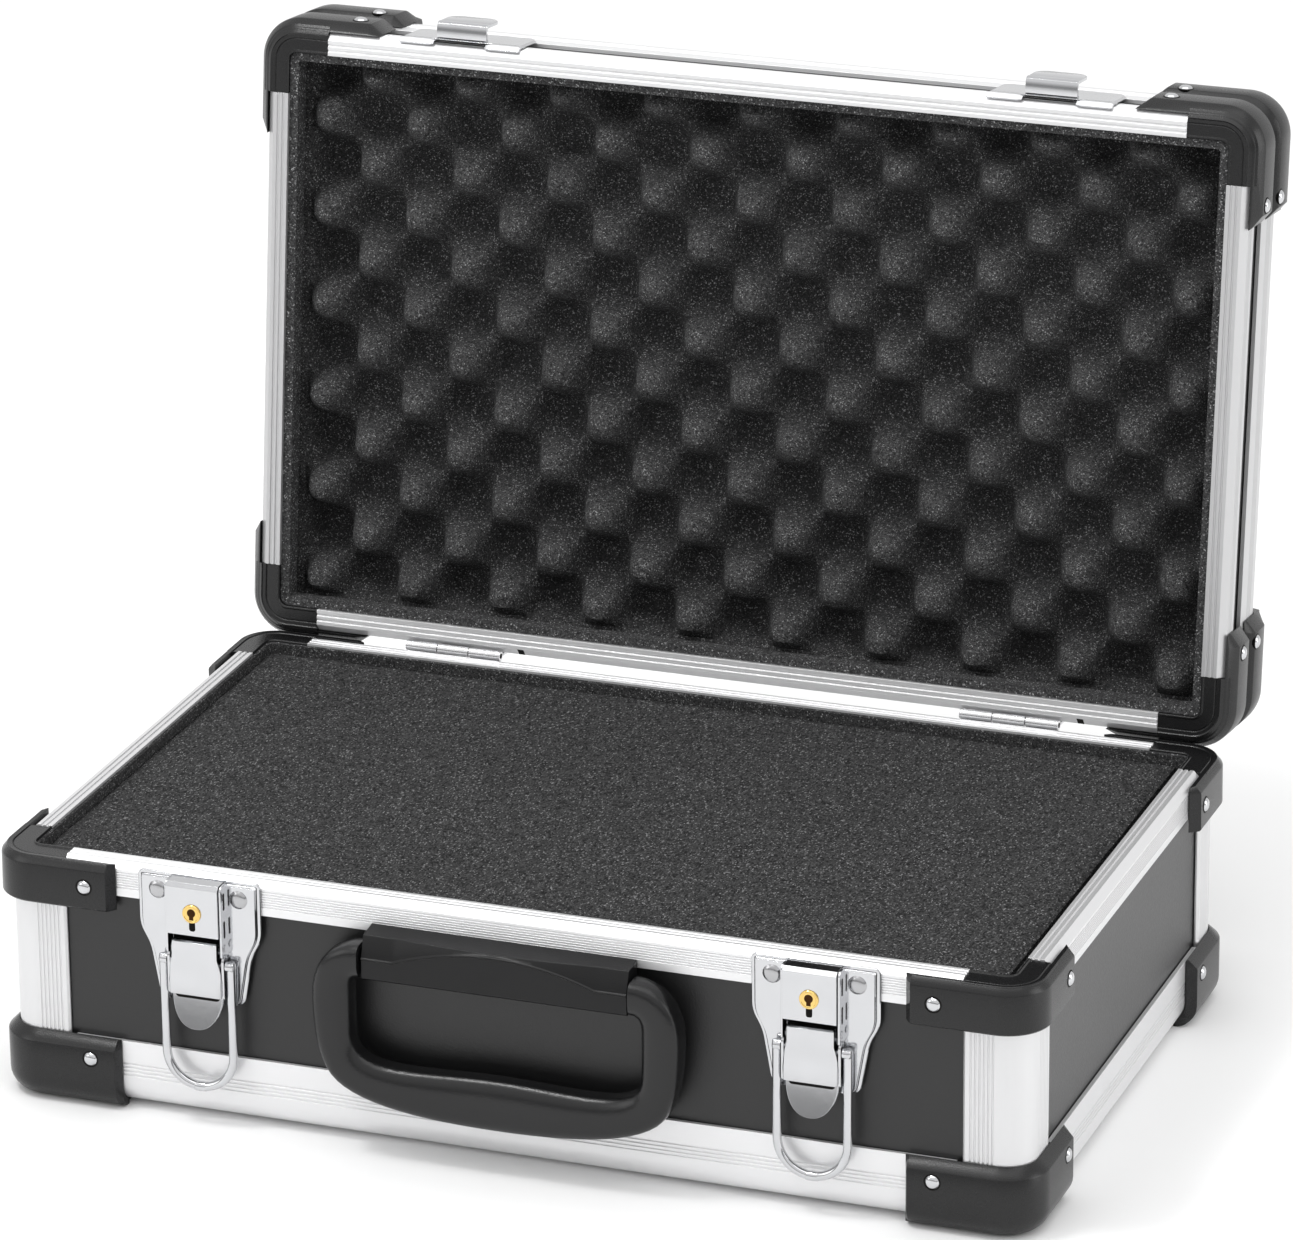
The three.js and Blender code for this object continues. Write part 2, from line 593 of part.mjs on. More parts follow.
const onFront = (x, ...meshes) => {
  const mounted = new THREE.Group();
  mounted.add(...meshes);
  mounted.rotation.z = Math.PI;
  mounted.position.set(x, -HALF_Y, RIM_HEIGHT);
  return mounted;
};
base.add(onFront(0, handleBracket(), handleGrip()));

const hingeAxis = new THREE.Vector3(0, HALF_Y + HINGE_OUT, RIM_HEIGHT + HINGE_UP);
const lid = new THREE.Group();
lid.position.copy(hingeAxis);
lid.rotation.x = -OPEN_ANGLE;
const lidFrame = new THREE.Group();
lidFrame.position.set(0, -hingeAxis.y, CLOSED_GAP - HINGE_UP);
lid.add(lidFrame);
lidFrame.add(
  lidShell(),
  ...rails("lid_rim", rimSection(LID), LIP_END, 0, DOWN),
  ...rails("lid_edge", edgeSection(LID), EDGE_END, LID_FLAT, DOWN),
  ...corners("lid_rim_cap", rimCap(LID), blackPlastic, 0, DOWN),
  ...corners("lid_edge_cap", edgeCap(LID), blackPlastic, LID_DEPTH, DOWN),
  lidFoam(),
);

Object.entries({ left: -1, right: 1 }).forEach(([side, sign]) => {
  base.add(
    onFront(
      sign * LATCH_X,
      latchPlate(`latch_plate_${side}`),
      lockCylinder(`lock_cylinder_${side}`),
      latchLever(`latch_lever_${side}`),
      latchBail(`latch_bail_${side}`),
    ),
  );
  const baseLeaf = hingeBaseLeaf(`hinge_base_leaf_${side}`);
  baseLeaf.position.copy(hingeAxis).setX(sign * HINGE_X);
  base.add(baseLeaf);
  const lidLeaf = hingeLidLeaf(`hinge_lid_leaf_${side}`);
  lidLeaf.position.x = sign * HINGE_X;
  lid.add(lidLeaf);
  const strike = strikePlate(`strike_plate_${side}`);
  strike.rotation.z = Math.PI;
  strike.position.set(sign * LATCH_X, -HALF_Y, 0);
  lidFrame.add(strike);
});

attacheCase.add(base, lid);
const extent = new THREE.Box3().setFromObject(attacheCase, true);
attacheCase.position.y = -(extent.min.y + extent.max.y) / 2;

export default attacheCase;
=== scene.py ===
"""Looks for the open aluminium attache case: metal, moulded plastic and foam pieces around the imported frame.
Pieces are shaped in millimetres, in three frames: the base, the lid as if shut, and the front face."""
import json
import math

import bmesh
import bpy
from mathutils import Matrix, Vector, noise


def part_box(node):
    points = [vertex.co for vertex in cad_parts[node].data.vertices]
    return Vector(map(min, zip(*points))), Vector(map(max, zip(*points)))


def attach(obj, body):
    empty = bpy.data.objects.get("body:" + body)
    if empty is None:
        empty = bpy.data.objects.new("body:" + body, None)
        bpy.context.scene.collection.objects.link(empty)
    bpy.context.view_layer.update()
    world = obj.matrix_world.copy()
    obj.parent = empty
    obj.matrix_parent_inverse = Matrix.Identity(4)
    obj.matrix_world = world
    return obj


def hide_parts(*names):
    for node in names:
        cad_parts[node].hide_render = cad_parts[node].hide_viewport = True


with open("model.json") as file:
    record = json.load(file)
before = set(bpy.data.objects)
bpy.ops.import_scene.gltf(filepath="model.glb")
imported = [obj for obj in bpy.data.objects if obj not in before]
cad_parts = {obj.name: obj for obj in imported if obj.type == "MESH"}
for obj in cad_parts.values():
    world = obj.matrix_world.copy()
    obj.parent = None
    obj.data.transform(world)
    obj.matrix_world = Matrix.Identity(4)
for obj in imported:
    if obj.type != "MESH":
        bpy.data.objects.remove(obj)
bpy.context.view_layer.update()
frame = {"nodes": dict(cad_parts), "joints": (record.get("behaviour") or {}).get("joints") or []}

# ---- Camera --------------------------------------------------------
CAMERA_AT = Vector((0.80589, -2.16651, 1.01784))
CAMERA_AZIMUTH = math.radians(20.405)
CAMERA_ELEVATION = math.radians(20.714)
CAMERA_ROLL = math.radians(-0.572)
CAMERA_LENS = 202.2  # focal length, in millimetres like the sensor's width
SENSOR_WIDTH = 36


def add_camera():
    """A long lens from the front, a little to the right and above."""
    backwards = Vector((
        math.sin(CAMERA_AZIMUTH) * math.cos(CAMERA_ELEVATION),
        -math.cos(CAMERA_AZIMUTH) * math.cos(CAMERA_ELEVATION),
        math.sin(CAMERA_ELEVATION),
    ))
    level_right = Vector((0, 0, 1)).cross(backwards).normalized()
    level_up = backwards.cross(level_right)
    right = level_right * math.cos(CAMERA_ROLL) + level_up * math.sin(CAMERA_ROLL)
    up = level_up * math.cos(CAMERA_ROLL) - level_right * math.sin(CAMERA_ROLL)
    data = bpy.data.cameras.new("camera")
    data.lens = CAMERA_LENS
    data.sensor_width = SENSOR_WIDTH
    camera = bpy.data.objects.new("camera", data)
    camera.matrix_world = Matrix.Translation(CAMERA_AT) @ Matrix((right, up, backwards)).transposed().to_4x4()
    bpy.context.scene.collection.objects.link(camera)
    bpy.context.scene.camera = camera


add_camera()

# ---- Sizes, in millimetres -----------------------------------------
MM = 0.001
RAIL_OUT = 2.4  # outer face of the rails, out from the edge of the lip
RAIL_FACE = RAIL_OUT + 0.3  # where a fitting rests on a rail
LIP_WIDTH = 5.5  # from the case's edge to its mouth
CORNER = 8.5  # plan radius at the lip's edge
LIP_END = 20.3  # where a cap's lip meets the rails' ends, in from the corner
CAP_OUT = 6.5  # outer face of the corner caps, out from the edge of the lip
EDGE_RADIUS = 8  # of the round outer edge of the foot caps and the lid's edge caps
ARM_X = 39  # how far a cap's arms reach in from the corner
ARM_Y = 35.35
CLOSED_GAP = 0.4  # between the two rims when the case is shut
HINGE_OUT = 3.35  # the hinge pins' axis, out from the back lip edge and up from the rim
HINGE_UP = 0.65
HINGE_X = 104  # from the middle of the case to the middle of a hinge
LATCH_X = 108  # and to the middle of a latch
LID_DEPTH = 43.5
FOAM_IN = LIP_WIDTH + 0.6  # from the edge of the lip to the lid's foam

front_low, front_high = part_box("base_rim_front")
back_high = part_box("base_rim_back")[1]
HALF_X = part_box("base_rim_right")[1].x / MM - RAIL_OUT
HALF_Y = (back_high.y - front_low.y) / 2 / MM - RAIL_OUT
MIDDLE_Y = (back_high.y + front_low.y) / 2
RIM_HEIGHT = front_high.z / MM

SCALE = Matrix.Scale(MM, 4)
BASE = Matrix.Translation((0, MIDDLE_Y, 0)) @ SCALE
hinge = next(joint for joint in frame["joints"] if joint["name"] == "lid_hinge")
OPEN_ANGLE = math.radians(hinge["range_deg"][1])
LID = (
    Matrix.Translation(hinge["pos_m"])
    @ Matrix.Rotation(-OPEN_ANGLE, 4, "X")
    @ SCALE
    @ Matrix.Translation((0, -HALF_Y - HINGE_OUT, CLOSED_GAP - HINGE_UP))
)


def on_front(place, x, z=0):
    """A frame on the front lip edge: x to the side, y out from the case, z up."""
    return place @ Matrix.Translation((x, -HALF_Y, z)) @ Matrix.Rotation(math.pi, 4, "Z")


# ---- Materials -----------------------------------------------------
class Nodes:
    """A material's node tree, built one node at a time."""

    def __init__(self, name):
        self.material = bpy.data.materials.new(name)
        self.material.use_nodes = True
        self.tree = self.material.node_tree
        self.shader = self.tree.nodes["Principled BSDF"]
        self.bump = None
        coordinates = self.tree.nodes.new("ShaderNodeTexCoord")
        self.place = coordinates.outputs["Object"]

    def link(self, source, target):
        """Joins an output to an input."""
        self.tree.links.new(source, target)

    def add(self, kind, inputs=None, **settings):
        """A new node. Each input is a value, or another node's output."""
        node = self.tree.nodes.new(kind)
        for key, value in settings.items():
            setattr(node, key, value)
        for key, value in (inputs or {}).items():
            if isinstance(value, bpy.types.NodeSocket):
                self.link(value, node.inputs[key])
            else:
                node.inputs[key].default_value = value
        return node

    def stretched(self, scale):
        """The place on the piece, scaled along each axis."""
        return self.add("ShaderNodeMapping", {"Vector": self.place, "Scale": scale}).outputs["Vector"]

    def noise(self, scale, detail=2, roughness=0.5, vector=None):
        """Soft noise, with about scale lumps to a metre."""
        inputs = {"Vector": vector or self.place, "Scale": scale, "Detail": detail, "Roughness": roughness}
        return self.add("ShaderNodeTexNoise", inputs).outputs["Fac"]

    def cells(self, scale):
        """The distance from the middle of soft-edged cells, with scale of them to a metre."""
        inputs = {"Vector": self.place, "Scale": scale}
        return self.add("ShaderNodeTexVoronoi", inputs, feature="SMOOTH_F1").outputs["Distance"]

    def grains(self, scale, vector):
        """A random level from 0 to 1 for each small grain."""
        inputs = {"Vector": vector, "Scale": scale}
        grain = self.add("ShaderNodeTexVoronoi", inputs).outputs["Color"]
        return self.add("ShaderNodeSeparateColor", {"Color": grain}).outputs["Red"]

    def ramp(self, value, stops):
        """Grey levels along a value, as (position, level) stops."""
        node = self.add("ShaderNodeValToRGB", {"Fac": value})
        elements = node.color_ramp.elements
        while len(elements) < len(stops):
            elements.new(0.5)
        for element, (position, level) in zip(elements, stops):
            element.position = position
            element.color = (level, level, level, 1)
        return node.outputs["Color"]

    def mixed(self, amount, low, high):
        """A colour between low and high by an amount of 0 to 1."""
        node = self.add("ShaderNodeMix", data_type="RGBA")
        self.link(amount, node.inputs["Factor"])
        for socket, value in ((node.inputs["A"], low), (node.inputs["B"], high)):
            if isinstance(value, bpy.types.NodeSocket):
                self.link(value, socket)
            else:
                socket.default_value = (*value, 1)
        return node.outputs["Result"]

    def between(self, value, low, high):
        """A number between low and high by a value of 0 to 1."""
        inputs = {"Value": value, "To Min": low, "To Max": high}
        return self.add("ShaderNodeMapRange", inputs).outputs["Result"]

    def raise_by(self, height, distance, strength):
        """Adds a layer of bumps, distance metres high, on top of those before it."""
        inputs = {"Height": height, "Distance": distance, "Strength": strength}
        node = self.add("ShaderNodeBump", inputs)
        if self.bump:
            self.link(self.bump, node.inputs["Normal"])
        self.bump = node.outputs["Normal"]
        self.link(self.bump, self.shader.inputs["Normal"])

    def set(self, **values):
        """Sets the shader's own inputs, named with _ for each space."""
        for key, value in values.items():
            socket = self.shader.inputs[key.replace("_", " ")]
            if isinstance(value, bpy.types.NodeSocket):
                self.link(value, socket)
            elif isinstance(value, tuple):
                socket.default_value = (*value, 1)
            else:
                socket.default_value = value


def make_aluminium(name, grain, level):
    """Satin anodised extrusion of a grey level, set lighter or darker for each side of the case as painted
    light and shade. Its drawing lines run along the axis with the least grain.
    """
    nodes = Nodes(name)
    lines = nodes.noise(1, 3, 0.6, nodes.stretched(grain))
    mottle = nodes.noise(60, 3)
    dull = (level * 0.97, level * 0.97, level * 0.98)
    bright = (level * 1.02, level * 1.02, level * 1.03)
    streaks = nodes.mixed(lines, dull, bright)
    nodes.set(
        Base_Color=nodes.mixed(mottle, streaks, (level, level, level * 1.01)),
        Metallic=0.6,
        Roughness=nodes.between(lines, 0.3, 0.4),
    )
    nodes.raise_by(lines, 0.00001, 0.05)
    return nodes.material


def make_board():
    """Charcoal laminate with a fine pebbled skin and faint clouding."""
    nodes = Nodes("board")
    pebbles = nodes.cells(1500)
    fine = nodes.noise(1300, 4, 0.6)
    clouds = nodes.noise(14, 4)
    grey = nodes.mixed(clouds, (0.004, 0.004, 0.0042), (0.006, 0.006, 0.0063))
    nodes.set(
        Base_Color=nodes.mixed(fine, grey, (0.008, 0.008, 0.0083)),
        Roughness=nodes.between(fine, 0.34, 0.5),
        Specular_IOR_Level=0.42,
        Coat_Weight=0.3,
        Coat_Roughness=0.35,
    )
    nodes.raise_by(pebbles, 0.0001, 0.5)
    nodes.raise_by(fine, 0.00006, 0.4)
    return nodes.material


def make_moulding(name, scale, depth, rough, gloss=0.42):
    """Black moulded plastic. Its grain is scale cells to a metre, and depth metres high."""
    nodes = Nodes(name)
    grain = nodes.cells(scale)
    fine = nodes.noise(3200, 3, 0.6)
    clouds = nodes.noise(22, 3)
    nodes.set(
        Base_Color=nodes.mixed(clouds, (0.005, 0.005, 0.0053), (0.008, 0.008, 0.0085)),
        Roughness=nodes.between(fine, rough - 0.06, rough + 0.08),
        Specular_IOR_Level=gloss,
    )
    nodes.raise_by(grain, depth, 0.8)
    nodes.raise_by(fine, 0.00002, 0.4)
    return nodes.material


def make_plating(name, colour, rough):
    """Bright plated metal with a slight waviness, hairline scratches and uneven polish."""
    nodes = Nodes(name)
    scratches = nodes.noise(1, 2, 0.5, nodes.stretched((5200, 5200, 160)))
    waves = nodes.noise(90, 2)
    dark = tuple(level * 0.9 for level in colour)
    nodes.set(
        Base_Color=nodes.mixed(waves, dark, colour),
        Metallic=1.0,
        Roughness=nodes.between(scratches, rough - 0.04, rough + 0.06),
    )
    nodes.raise_by(waves, 0.00012, 0.35)
    nodes.raise_by(scratches, 0.000004, 0.3)
    return nodes.material


def make_foam(name, grey, grain):
    """Open-celled charcoal foam: each cell has its own grey, and a few cell walls catch the light. The mesh's
    painted light level darkens its hollows as painted shade and lightens its crests as painted light. The
    grain is in cells to a metre along each axis."""
    nodes = Nodes(name)
    stretched = nodes.stretched(grain)
    fine = nodes.noise(700, 3, 0.7)
    cell = nodes.grains(1, stretched)
    glints = nodes.ramp(nodes.grains(1.3, stretched), ((0.0, 0), (0.8, 0.02), (0.93, 0.3), (0.985, 1)))
    # Painted light and shade: the mesh's light level lightens the crests and darkens the hollows.
    painted_light_level = nodes.add("ShaderNodeAttribute", attribute_name="painted_light_level").outputs["Fac"]
    pit = (grey * 0.4, grey * 0.4, grey * 0.41)
    shaded_hollow = (grey * 0.9, grey * 0.9, grey * 0.92)
    lit_crest = (grey * 2.1, grey * 2.1, grey * 2.12)
    glint = (grey * 7, grey * 7, grey * 7.1)
    skin = nodes.mixed(cell, pit, nodes.mixed(painted_light_level, shaded_hollow, lit_crest))
    nodes.set(
        Base_Color=nodes.mixed(glints, skin, glint),
        Roughness=nodes.between(fine, 0.8, 1),
        Specular_IOR_Level=0.05,
    )
    nodes.raise_by(cell, 0.0004, 0.5)
    nodes.raise_by(fine, 0.0003, 0.5)
    return nodes.material


def make_painted_shade(name, low, high):
    """Painted shade for a slot, hole or key way: the unlit dark there, mottled between two colours."""
    nodes = Nodes(name)
    shade_mottle = nodes.noise(400, 3)
    nodes.set(
        Base_Color=nodes.mixed(shade_mottle, low, high),
        Roughness=nodes.between(shade_mottle, 0.4, 0.7),
        Specular_IOR_Level=0.05,
    )
    return nodes.material


# Painted light and shade in the levels: one aluminium, lighter on the front and back rails and darker on the
# base's sides, the posts and most of all the lid's sides, for how the light falls on each.
ALUMINIUM_X = make_aluminium("aluminium_along_x", grain=(1, 1100, 1100), level=0.79)
ALUMINIUM_Y = make_aluminium("aluminium_along_y", grain=(1100, 1, 40), level=0.72)
ALUMINIUM_Z = make_aluminium("aluminium_along_z", grain=(1100, 1100, 1), level=0.68)
SHADED_LID_SIDE_METAL = make_aluminium("shaded_aluminium_lid_sides", grain=(1100, 40, 1), level=0.54)
BOARD = make_board()
MOULDING = make_moulding("moulding", scale=2400, depth=0.00003, rough=0.27)
LEATHER_GRAIN = make_moulding("leather_grain", scale=1700, depth=0.00006, rough=0.24)
BRACKET_PLASTIC = make_moulding("bracket_plastic", scale=2400, depth=0.00003, rough=0.3, gloss=0.26)
CHROME = make_plating("chrome", (0.61, 0.615, 0.63), rough=0.12)
STEEL = make_plating("hinge_steel", (0.72, 0.72, 0.73), rough=0.16)
RIVET = make_plating("rivet", (0.46, 0.46, 0.47), rough=0.2)
BRASS = make_plating("brass", (0.83, 0.58, 0.2), rough=0.16)
FOAM = make_foam("foam", grey=0.036, grain=(2100, 2100, 2100))
# Painted shade: the base's block is a darker copy of the foam, against the greater light that falls on it from
# above.
DARKENED_BASE_FOAM = make_foam("base_foam", grey=0.027, grain=(1900, 1050, 1900))
LINING_FOAM = make_foam("lining_foam", grey=0.045, grain=(1900, 1900, 1900))
# Painted shade: near black, for the dark sheets on slots, holes, gaps and creases.
PAINTED_SHADE = make_painted_shade("painted_shade", (0.003, 0.003, 0.003), (0.012, 0.011, 0.01))
# Painted shade in the key ways: dark brown, where the lock's brass lies in shade.
KEY_HOLE_SHADE = make_painted_shade("key_hole_shade", (0.02, 0.008, 0.002), (0.07, 0.028, 0.007))

# ---- Mesh tools ----------------------------------------------------
SMOOTH_BELOW = math.radians(32)


def along_x(out, z, x):
    """Places a side view's outline, drawn out along x."""
    return (x, out, z)


def facing(x, z, out):
    """Places a front view's outline, drawn out towards the front."""
    return (x, out, z)


def upright(x, y, z):
    """Places a plan's outline, drawn out upwards."""
    return (x, y, z)


def arc(centre, radius, start, end, steps=8):
    """Points on an arc in the plane, both ends included, with angles in degrees."""
    angles = [math.radians(start + (end - start) * i / steps) for i in range(steps + 1)]
    return [(centre[0] + radius * math.cos(a), centre[1] + radius * math.sin(a)) for a in angles]


def rounded(outline, radius):
    """An outline with every corner rounded off, by less than half of its shorter side."""
    most = 0.45
    steps = 4
    points = []
    for i, corner in enumerate(outline):
        here = Vector(corner)
        before = Vector(outline[i - 1]) - here
        after = Vector(outline[(i + 1) % len(outline)]) - here
        reach = min(radius, before.length * most, after.length * most)
        first = here + before.normalized() * reach
        last = here + after.normalized() * reach
        for step in range(steps + 1):
            t = step / steps
            points.append(tuple(first * (1 - t) ** 2 + here * 2 * t * (1 - t) + last * t ** 2))
    return points


def loft(bm, rings, loop=False):
    """Skins a row of rings of points, each with the same count, and closes both ends unless it loops."""
    made = [[bm.verts.new(point) for point in ring] for ring in rings]
    pairs = list(zip(made, made[1:]))
    if loop:
        pairs.append((made[-1], made[0]))
    else:
        bm.faces.new(made[0])
        bm.faces.new(made[-1])
    for first, second in pairs:
        for i in range(len(first)):
            bm.faces.new((first[i - 1], first[i], second[i], second[i - 1]))
    return made


def prism(bm, outline, place, start, end):
    """An outline drawn between two depths. Returns the ring at each end."""
    return loft(bm, [[place(a, b, depth) for a, b in outline] for depth in (start, end)])


def chamfer(bm, ring, width):
    """Rounds the edge that runs round a ring of corners."""
    edges = [bm.edges.get((ring[i - 1], ring[i])) for i in range(len(ring))]
    edges = [edge for edge in edges if edge]
    bmesh.ops.bevel(bm, geom=edges, offset=width, segments=2, profile=0.5, affect="EDGES")


def turned(bm, profile, place, steps=24):
    """A solid turned about the frame's Y, from (radius, y) points. Its ends may lie on the axis."""
    smallest = 0.01
    rings = []
    for radius, y in profile:
        flat = arc((0, 0), max(radius, smallest), 0, 360 * (steps - 1) / steps, steps - 1)
        rings.append([place @ Vector((x, y, z)) for x, z in flat])
    loft(bm, rings)


def finish(name, bm, place, material, body, nodes=(), rounding=0):
    """Makes the object, in place, riding on its body, and standing for the CAD nodes that it replaces.
    Rounding is the width of its softened edges, in millimetres."""
    bmesh.ops.recalc_face_normals(bm, faces=bm.faces)
    bm.transform(place)
    if place.determinant() < 0:
        bmesh.ops.reverse_faces(bm, faces=bm.faces)
    mesh = bpy.data.meshes.new(name)
    bm.to_mesh(mesh)
    bm.free()
    mesh.materials.append(material)
    mesh.shade_smooth()
    mesh.set_sharp_from_angle(angle=SMOOTH_BELOW)
    piece = bpy.data.objects.new(name, mesh)
    bpy.context.scene.collection.objects.link(piece)
    if rounding:
        round_edges(piece, rounding)
    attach(piece, body)
    if nodes:
        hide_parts(*nodes)
    return piece


def round_edges(piece, width):
    """Softens a piece's sharp edges by a width in millimetres."""
    bevel = piece.modifiers.new("rounding", "BEVEL")
    bevel.width = width * MM
    bevel.segments = 2
    bevel.limit_method = "ANGLE"
    bevel.angle_limit = SMOOTH_BELOW
    bevel.harden_normals = True


# ---- CAD nodes that keep their shape -------------------------------
KEPT_ROUNDING = 0.12
WELD_WITHIN = 0.00001
FLAT_WITHIN = math.radians(0.5)


def keep(node, material):
    """Gives a CAD node its material, and softens its edges without changing its mesh."""
    piece = frame["nodes"][node]
    mesh = piece.data
    mesh.materials.clear()
    mesh.materials.append(material)
    if "custom_normal" in mesh.attributes:
        mesh.attributes.remove(mesh.attributes["custom_normal"])
    mesh.shade_smooth()
    weld = piece.modifiers.new("weld", "WELD")
    weld.merge_threshold = WELD_WITHIN
    planar = piece.modifiers.new("planar", "DECIMATE")
    planar.decimate_type = "DISSOLVE"
    planar.angle_limit = FLAT_WITHIN
    round_edges(piece, KEPT_ROUNDING)


SIDES = ("front", "back", "left", "right")
CORNERS = {"front_left": (-1, -1), "front_right": (1, -1), "back_left": (-1, 1), "back_right": (1, 1)}


def keep_frame():
    """The rails, boards, posts, lid shell and hinge leaves."""
    for side in SIDES:
        across = side in ("front", "back")
        for rail in ("base_rim", "base_edge"):
            keep(f"{rail}_{side}", ALUMINIUM_X if across else ALUMINIUM_Y)
        for rail in ("lid_rim", "lid_edge"):
            keep(f"{rail}_{side}", ALUMINIUM_X if across else SHADED_LID_SIDE_METAL)
        keep(f"base_board_{side}", BOARD)
    for corner in CORNERS:
        keep(f"base_post_{corner}", ALUMINIUM_Z)
    keep("base_board_bottom", BOARD)
    keep("lid_shell", BOARD)
    for side in ("left", "right"):
        keep(f"hinge_base_leaf_{side}", STEEL)
        keep(f"hinge_lid_leaf_{side}", STEEL)


# ---- Corner caps ---------------------------------------------------
CORNER_STEPS = 14
CAP_ROUNDING = 0.3


def station(x, y, across, along):
    """A place on the lip's edge and the direction that faces out there, as a function of (out, height)."""
    return lambda out, z: (x + across * out, y + along * out, z)


def corner_path(arm_x, arm_y):
    """Stations round a corner of the case at +X +Y, from one arm's end to the other's."""
    turn = arc((HALF_X - CORNER, HALF_Y - CORNER), CORNER, 90, 0, CORNER_STEPS)
    facings = arc((0, 0), 1, 90, 0, CORNER_STEPS)
    bend = [station(x, y, across, along) for (x, y), (across, along) in zip(turn, facings)]
    return [station(HALF_X - arm_x, HALF_Y, 0, 1), *bend, station(HALF_X, HALF_Y - arm_y, 1, 0)]


def sweep(bm, section, path):
    """Skins a section of (out, height) points along a path of stations."""
    loft(bm, [[place(out, z) for out, z in section] for place in path])


def cap_wall(bm, section, slant):
    """Sweeps a cap's wall round its corner, with each arm's end slanted down to the rail."""
    end_out = RAIL_FACE + 0.2
    squeezed = [(min(out, end_out), z) for out, z in section]
    ends = corner_path(ARM_X, ARM_Y)
    rings = [[place(out, z) for out, z in section] for place in corner_path(ARM_X - slant, ARM_Y - slant)]
    first = [ends[0](out, z) for out, z in squeezed]
    last = [ends[-1](out, z) for out, z in squeezed]
    loft(bm, [first, *rings, last])


def rim_cap(height, ridge, bevel, slant):
    """A cap on a corner of the mouth: its wall outside the rails, and the lip between the two rails' ends.
    Ridge says how far out the lip's raised line is, and bevel how deep the wall's sloping top is."""
    bm = bmesh.new()
    shoulder = max(ridge, RAIL_FACE + 0.6)
    outer_top, crown, inner_top = (-0.75, -0.35, -0.5) if ridge > RAIL_FACE else (-1.7, -1.35, -1.1)
    wall = [
        (RAIL_FACE, -height),
        (CAP_OUT - 0.5, -height),
        (CAP_OUT, -height + 0.6),
        (CAP_OUT - 0.1, -bevel - 0.4),
        (CAP_OUT - 0.3, -bevel + 0.2),
        (shoulder + 0.35, outer_top),
        (shoulder - 0.1, crown),
        (RAIL_FACE, inner_top),
    ]
    cap_wall(bm, wall, slant)
    inner = -LIP_WIDTH
    lip = [
        (inner, -7.8),
        (inner, -0.5),
        (inner + 0.3, -0.12),
        (inner + 0.8, -0.12),
        (inner + 1.1, -0.55),
        (ridge - 2.2, -0.6),
        (ridge - 1.9, -0.9),
        (ridge - 1.6, -0.6),
        (ridge - 0.4, -0.55),
        (ridge, -0.25),
        (ridge + 0.35, -0.6),
        (RAIL_FACE + 1.9, -0.85 - 1.2 * bevel / 4),
        (RAIL_FACE + 1.5, -3.4),
        (0.8, -3.4),
        (0.8, -2.4),
        (inner + 1.4, -2.4),
        (inner + 1.4, -7.8),
    ]
    sweep(bm, lip, corner_path(LIP_END - 0.1, LIP_END - 0.1))
    return bm


def edge_cap(height, drop, slant):
    """A cap on an outer corner: a round edge, a side, and a ledge that slopes in to the case by its drop."""
    bm = bmesh.new()
    thick = 1.2  # of the plate that covers the corner
    lap = 1  # the plate stops this much short of the arms' ends
    start = CAP_OUT - EDGE_RADIUS
    inside = arc((RAIL_OUT - EDGE_RADIUS, EDGE_RADIUS + 1.3), EDGE_RADIUS + 0.3, 0, -60)
    wall = [
        *arc((start, EDGE_RADIUS), EDGE_RADIUS, -90, 0),
        (CAP_OUT, height - drop - 0.3),
        (CAP_OUT - 0.25, height - drop + 0.15),
        (RAIL_FACE + 0.4, height - 0.15),
        (RAIL_FACE, height),
        *inside,
        (start, thick),
    ]
    cap_wall(bm, wall, slant)
    reach = 21.5  # of the plate behind its arms, in from the corner
    inside_corner = 3
    inset = 0.3  # the plate lies this much in from the round edge, and up from its flat
    centre = (HALF_X - CORNER, HALF_Y - CORNER)
    plan = [
        (HALF_X - ARM_X + lap, HALF_Y + start + inset),
        *arc(centre, CORNER + start + inset, 90, 0),
        (HALF_X + start + inset, HALF_Y - ARM_Y + lap),
        (HALF_X - reach, HALF_Y - ARM_Y + lap),
        *arc((HALF_X - reach - inside_corner, HALF_Y - reach - inside_corner), inside_corner, 0, 90),
        (HALF_X - ARM_X + lap, HALF_Y - reach),
    ]
    prism(bm, plan, upright, inset, thick)
    return bm


RIVET_RADIUS = 2.4
RIVET_X = 148.7  # rivets on the front and back faces, from the middle
RIVET_Y = 78.5  # and on the side faces
HOLE_RADIUS = RIVET_RADIUS + 0.5


def rivet_spots(heights):
    """Frames for the rivets on both outer faces of the four corners, with Y out of the face."""
    for across, along in CORNERS.values():
        for z in heights:
            for x, y, turn in (
                (RIVET_X, HALF_Y + CAP_OUT, math.pi if along < 0 else 0),
                (HALF_X + CAP_OUT, RIVET_Y, -across * math.pi / 2),
            ):
                yield Matrix.Translation((across * x, along * y, z)) @ Matrix.Rotation(turn, 4, "Z")


def corner_rivets(heights):
    """The rivets at these heights on all four corners."""
    bm = bmesh.new()
    for spot in rivet_spots(heights):
        rivet_head(bm, spot, RIVET_RADIUS)
    return bm


def corner_hole_shade(heights):
    """Painted shade: a dark ring round each rivet, where its hole is a little wider than the head."""
    bm = bmesh.new()
    for spot in rivet_spots(heights):
        turned(bm, ((HOLE_RADIUS, -0.4), (HOLE_RADIUS, 0.05)), spot)
    return bm


def rivet_head(bm, place, radius):
    """A low domed head on the frame's XZ plane, with a rolled rim."""
    profile = ((radius, -0.3), (radius, 0.15), (radius * 0.95, 0.3))
    dome = [(radius * 0.9 * math.cos(a), 0.3 + 0.9 * math.sin(a)) for a in (0.15, 0.4, 0.7, 1, 1.3, 1.55)]
    turned(bm, (*profile, *dome), place)


def cap(node, bm, place, body):
    """One cap, which replaces its CAD node."""
    finish(f"{node}_moulding", bm, place, MOULDING, body, [node], CAP_ROUNDING)


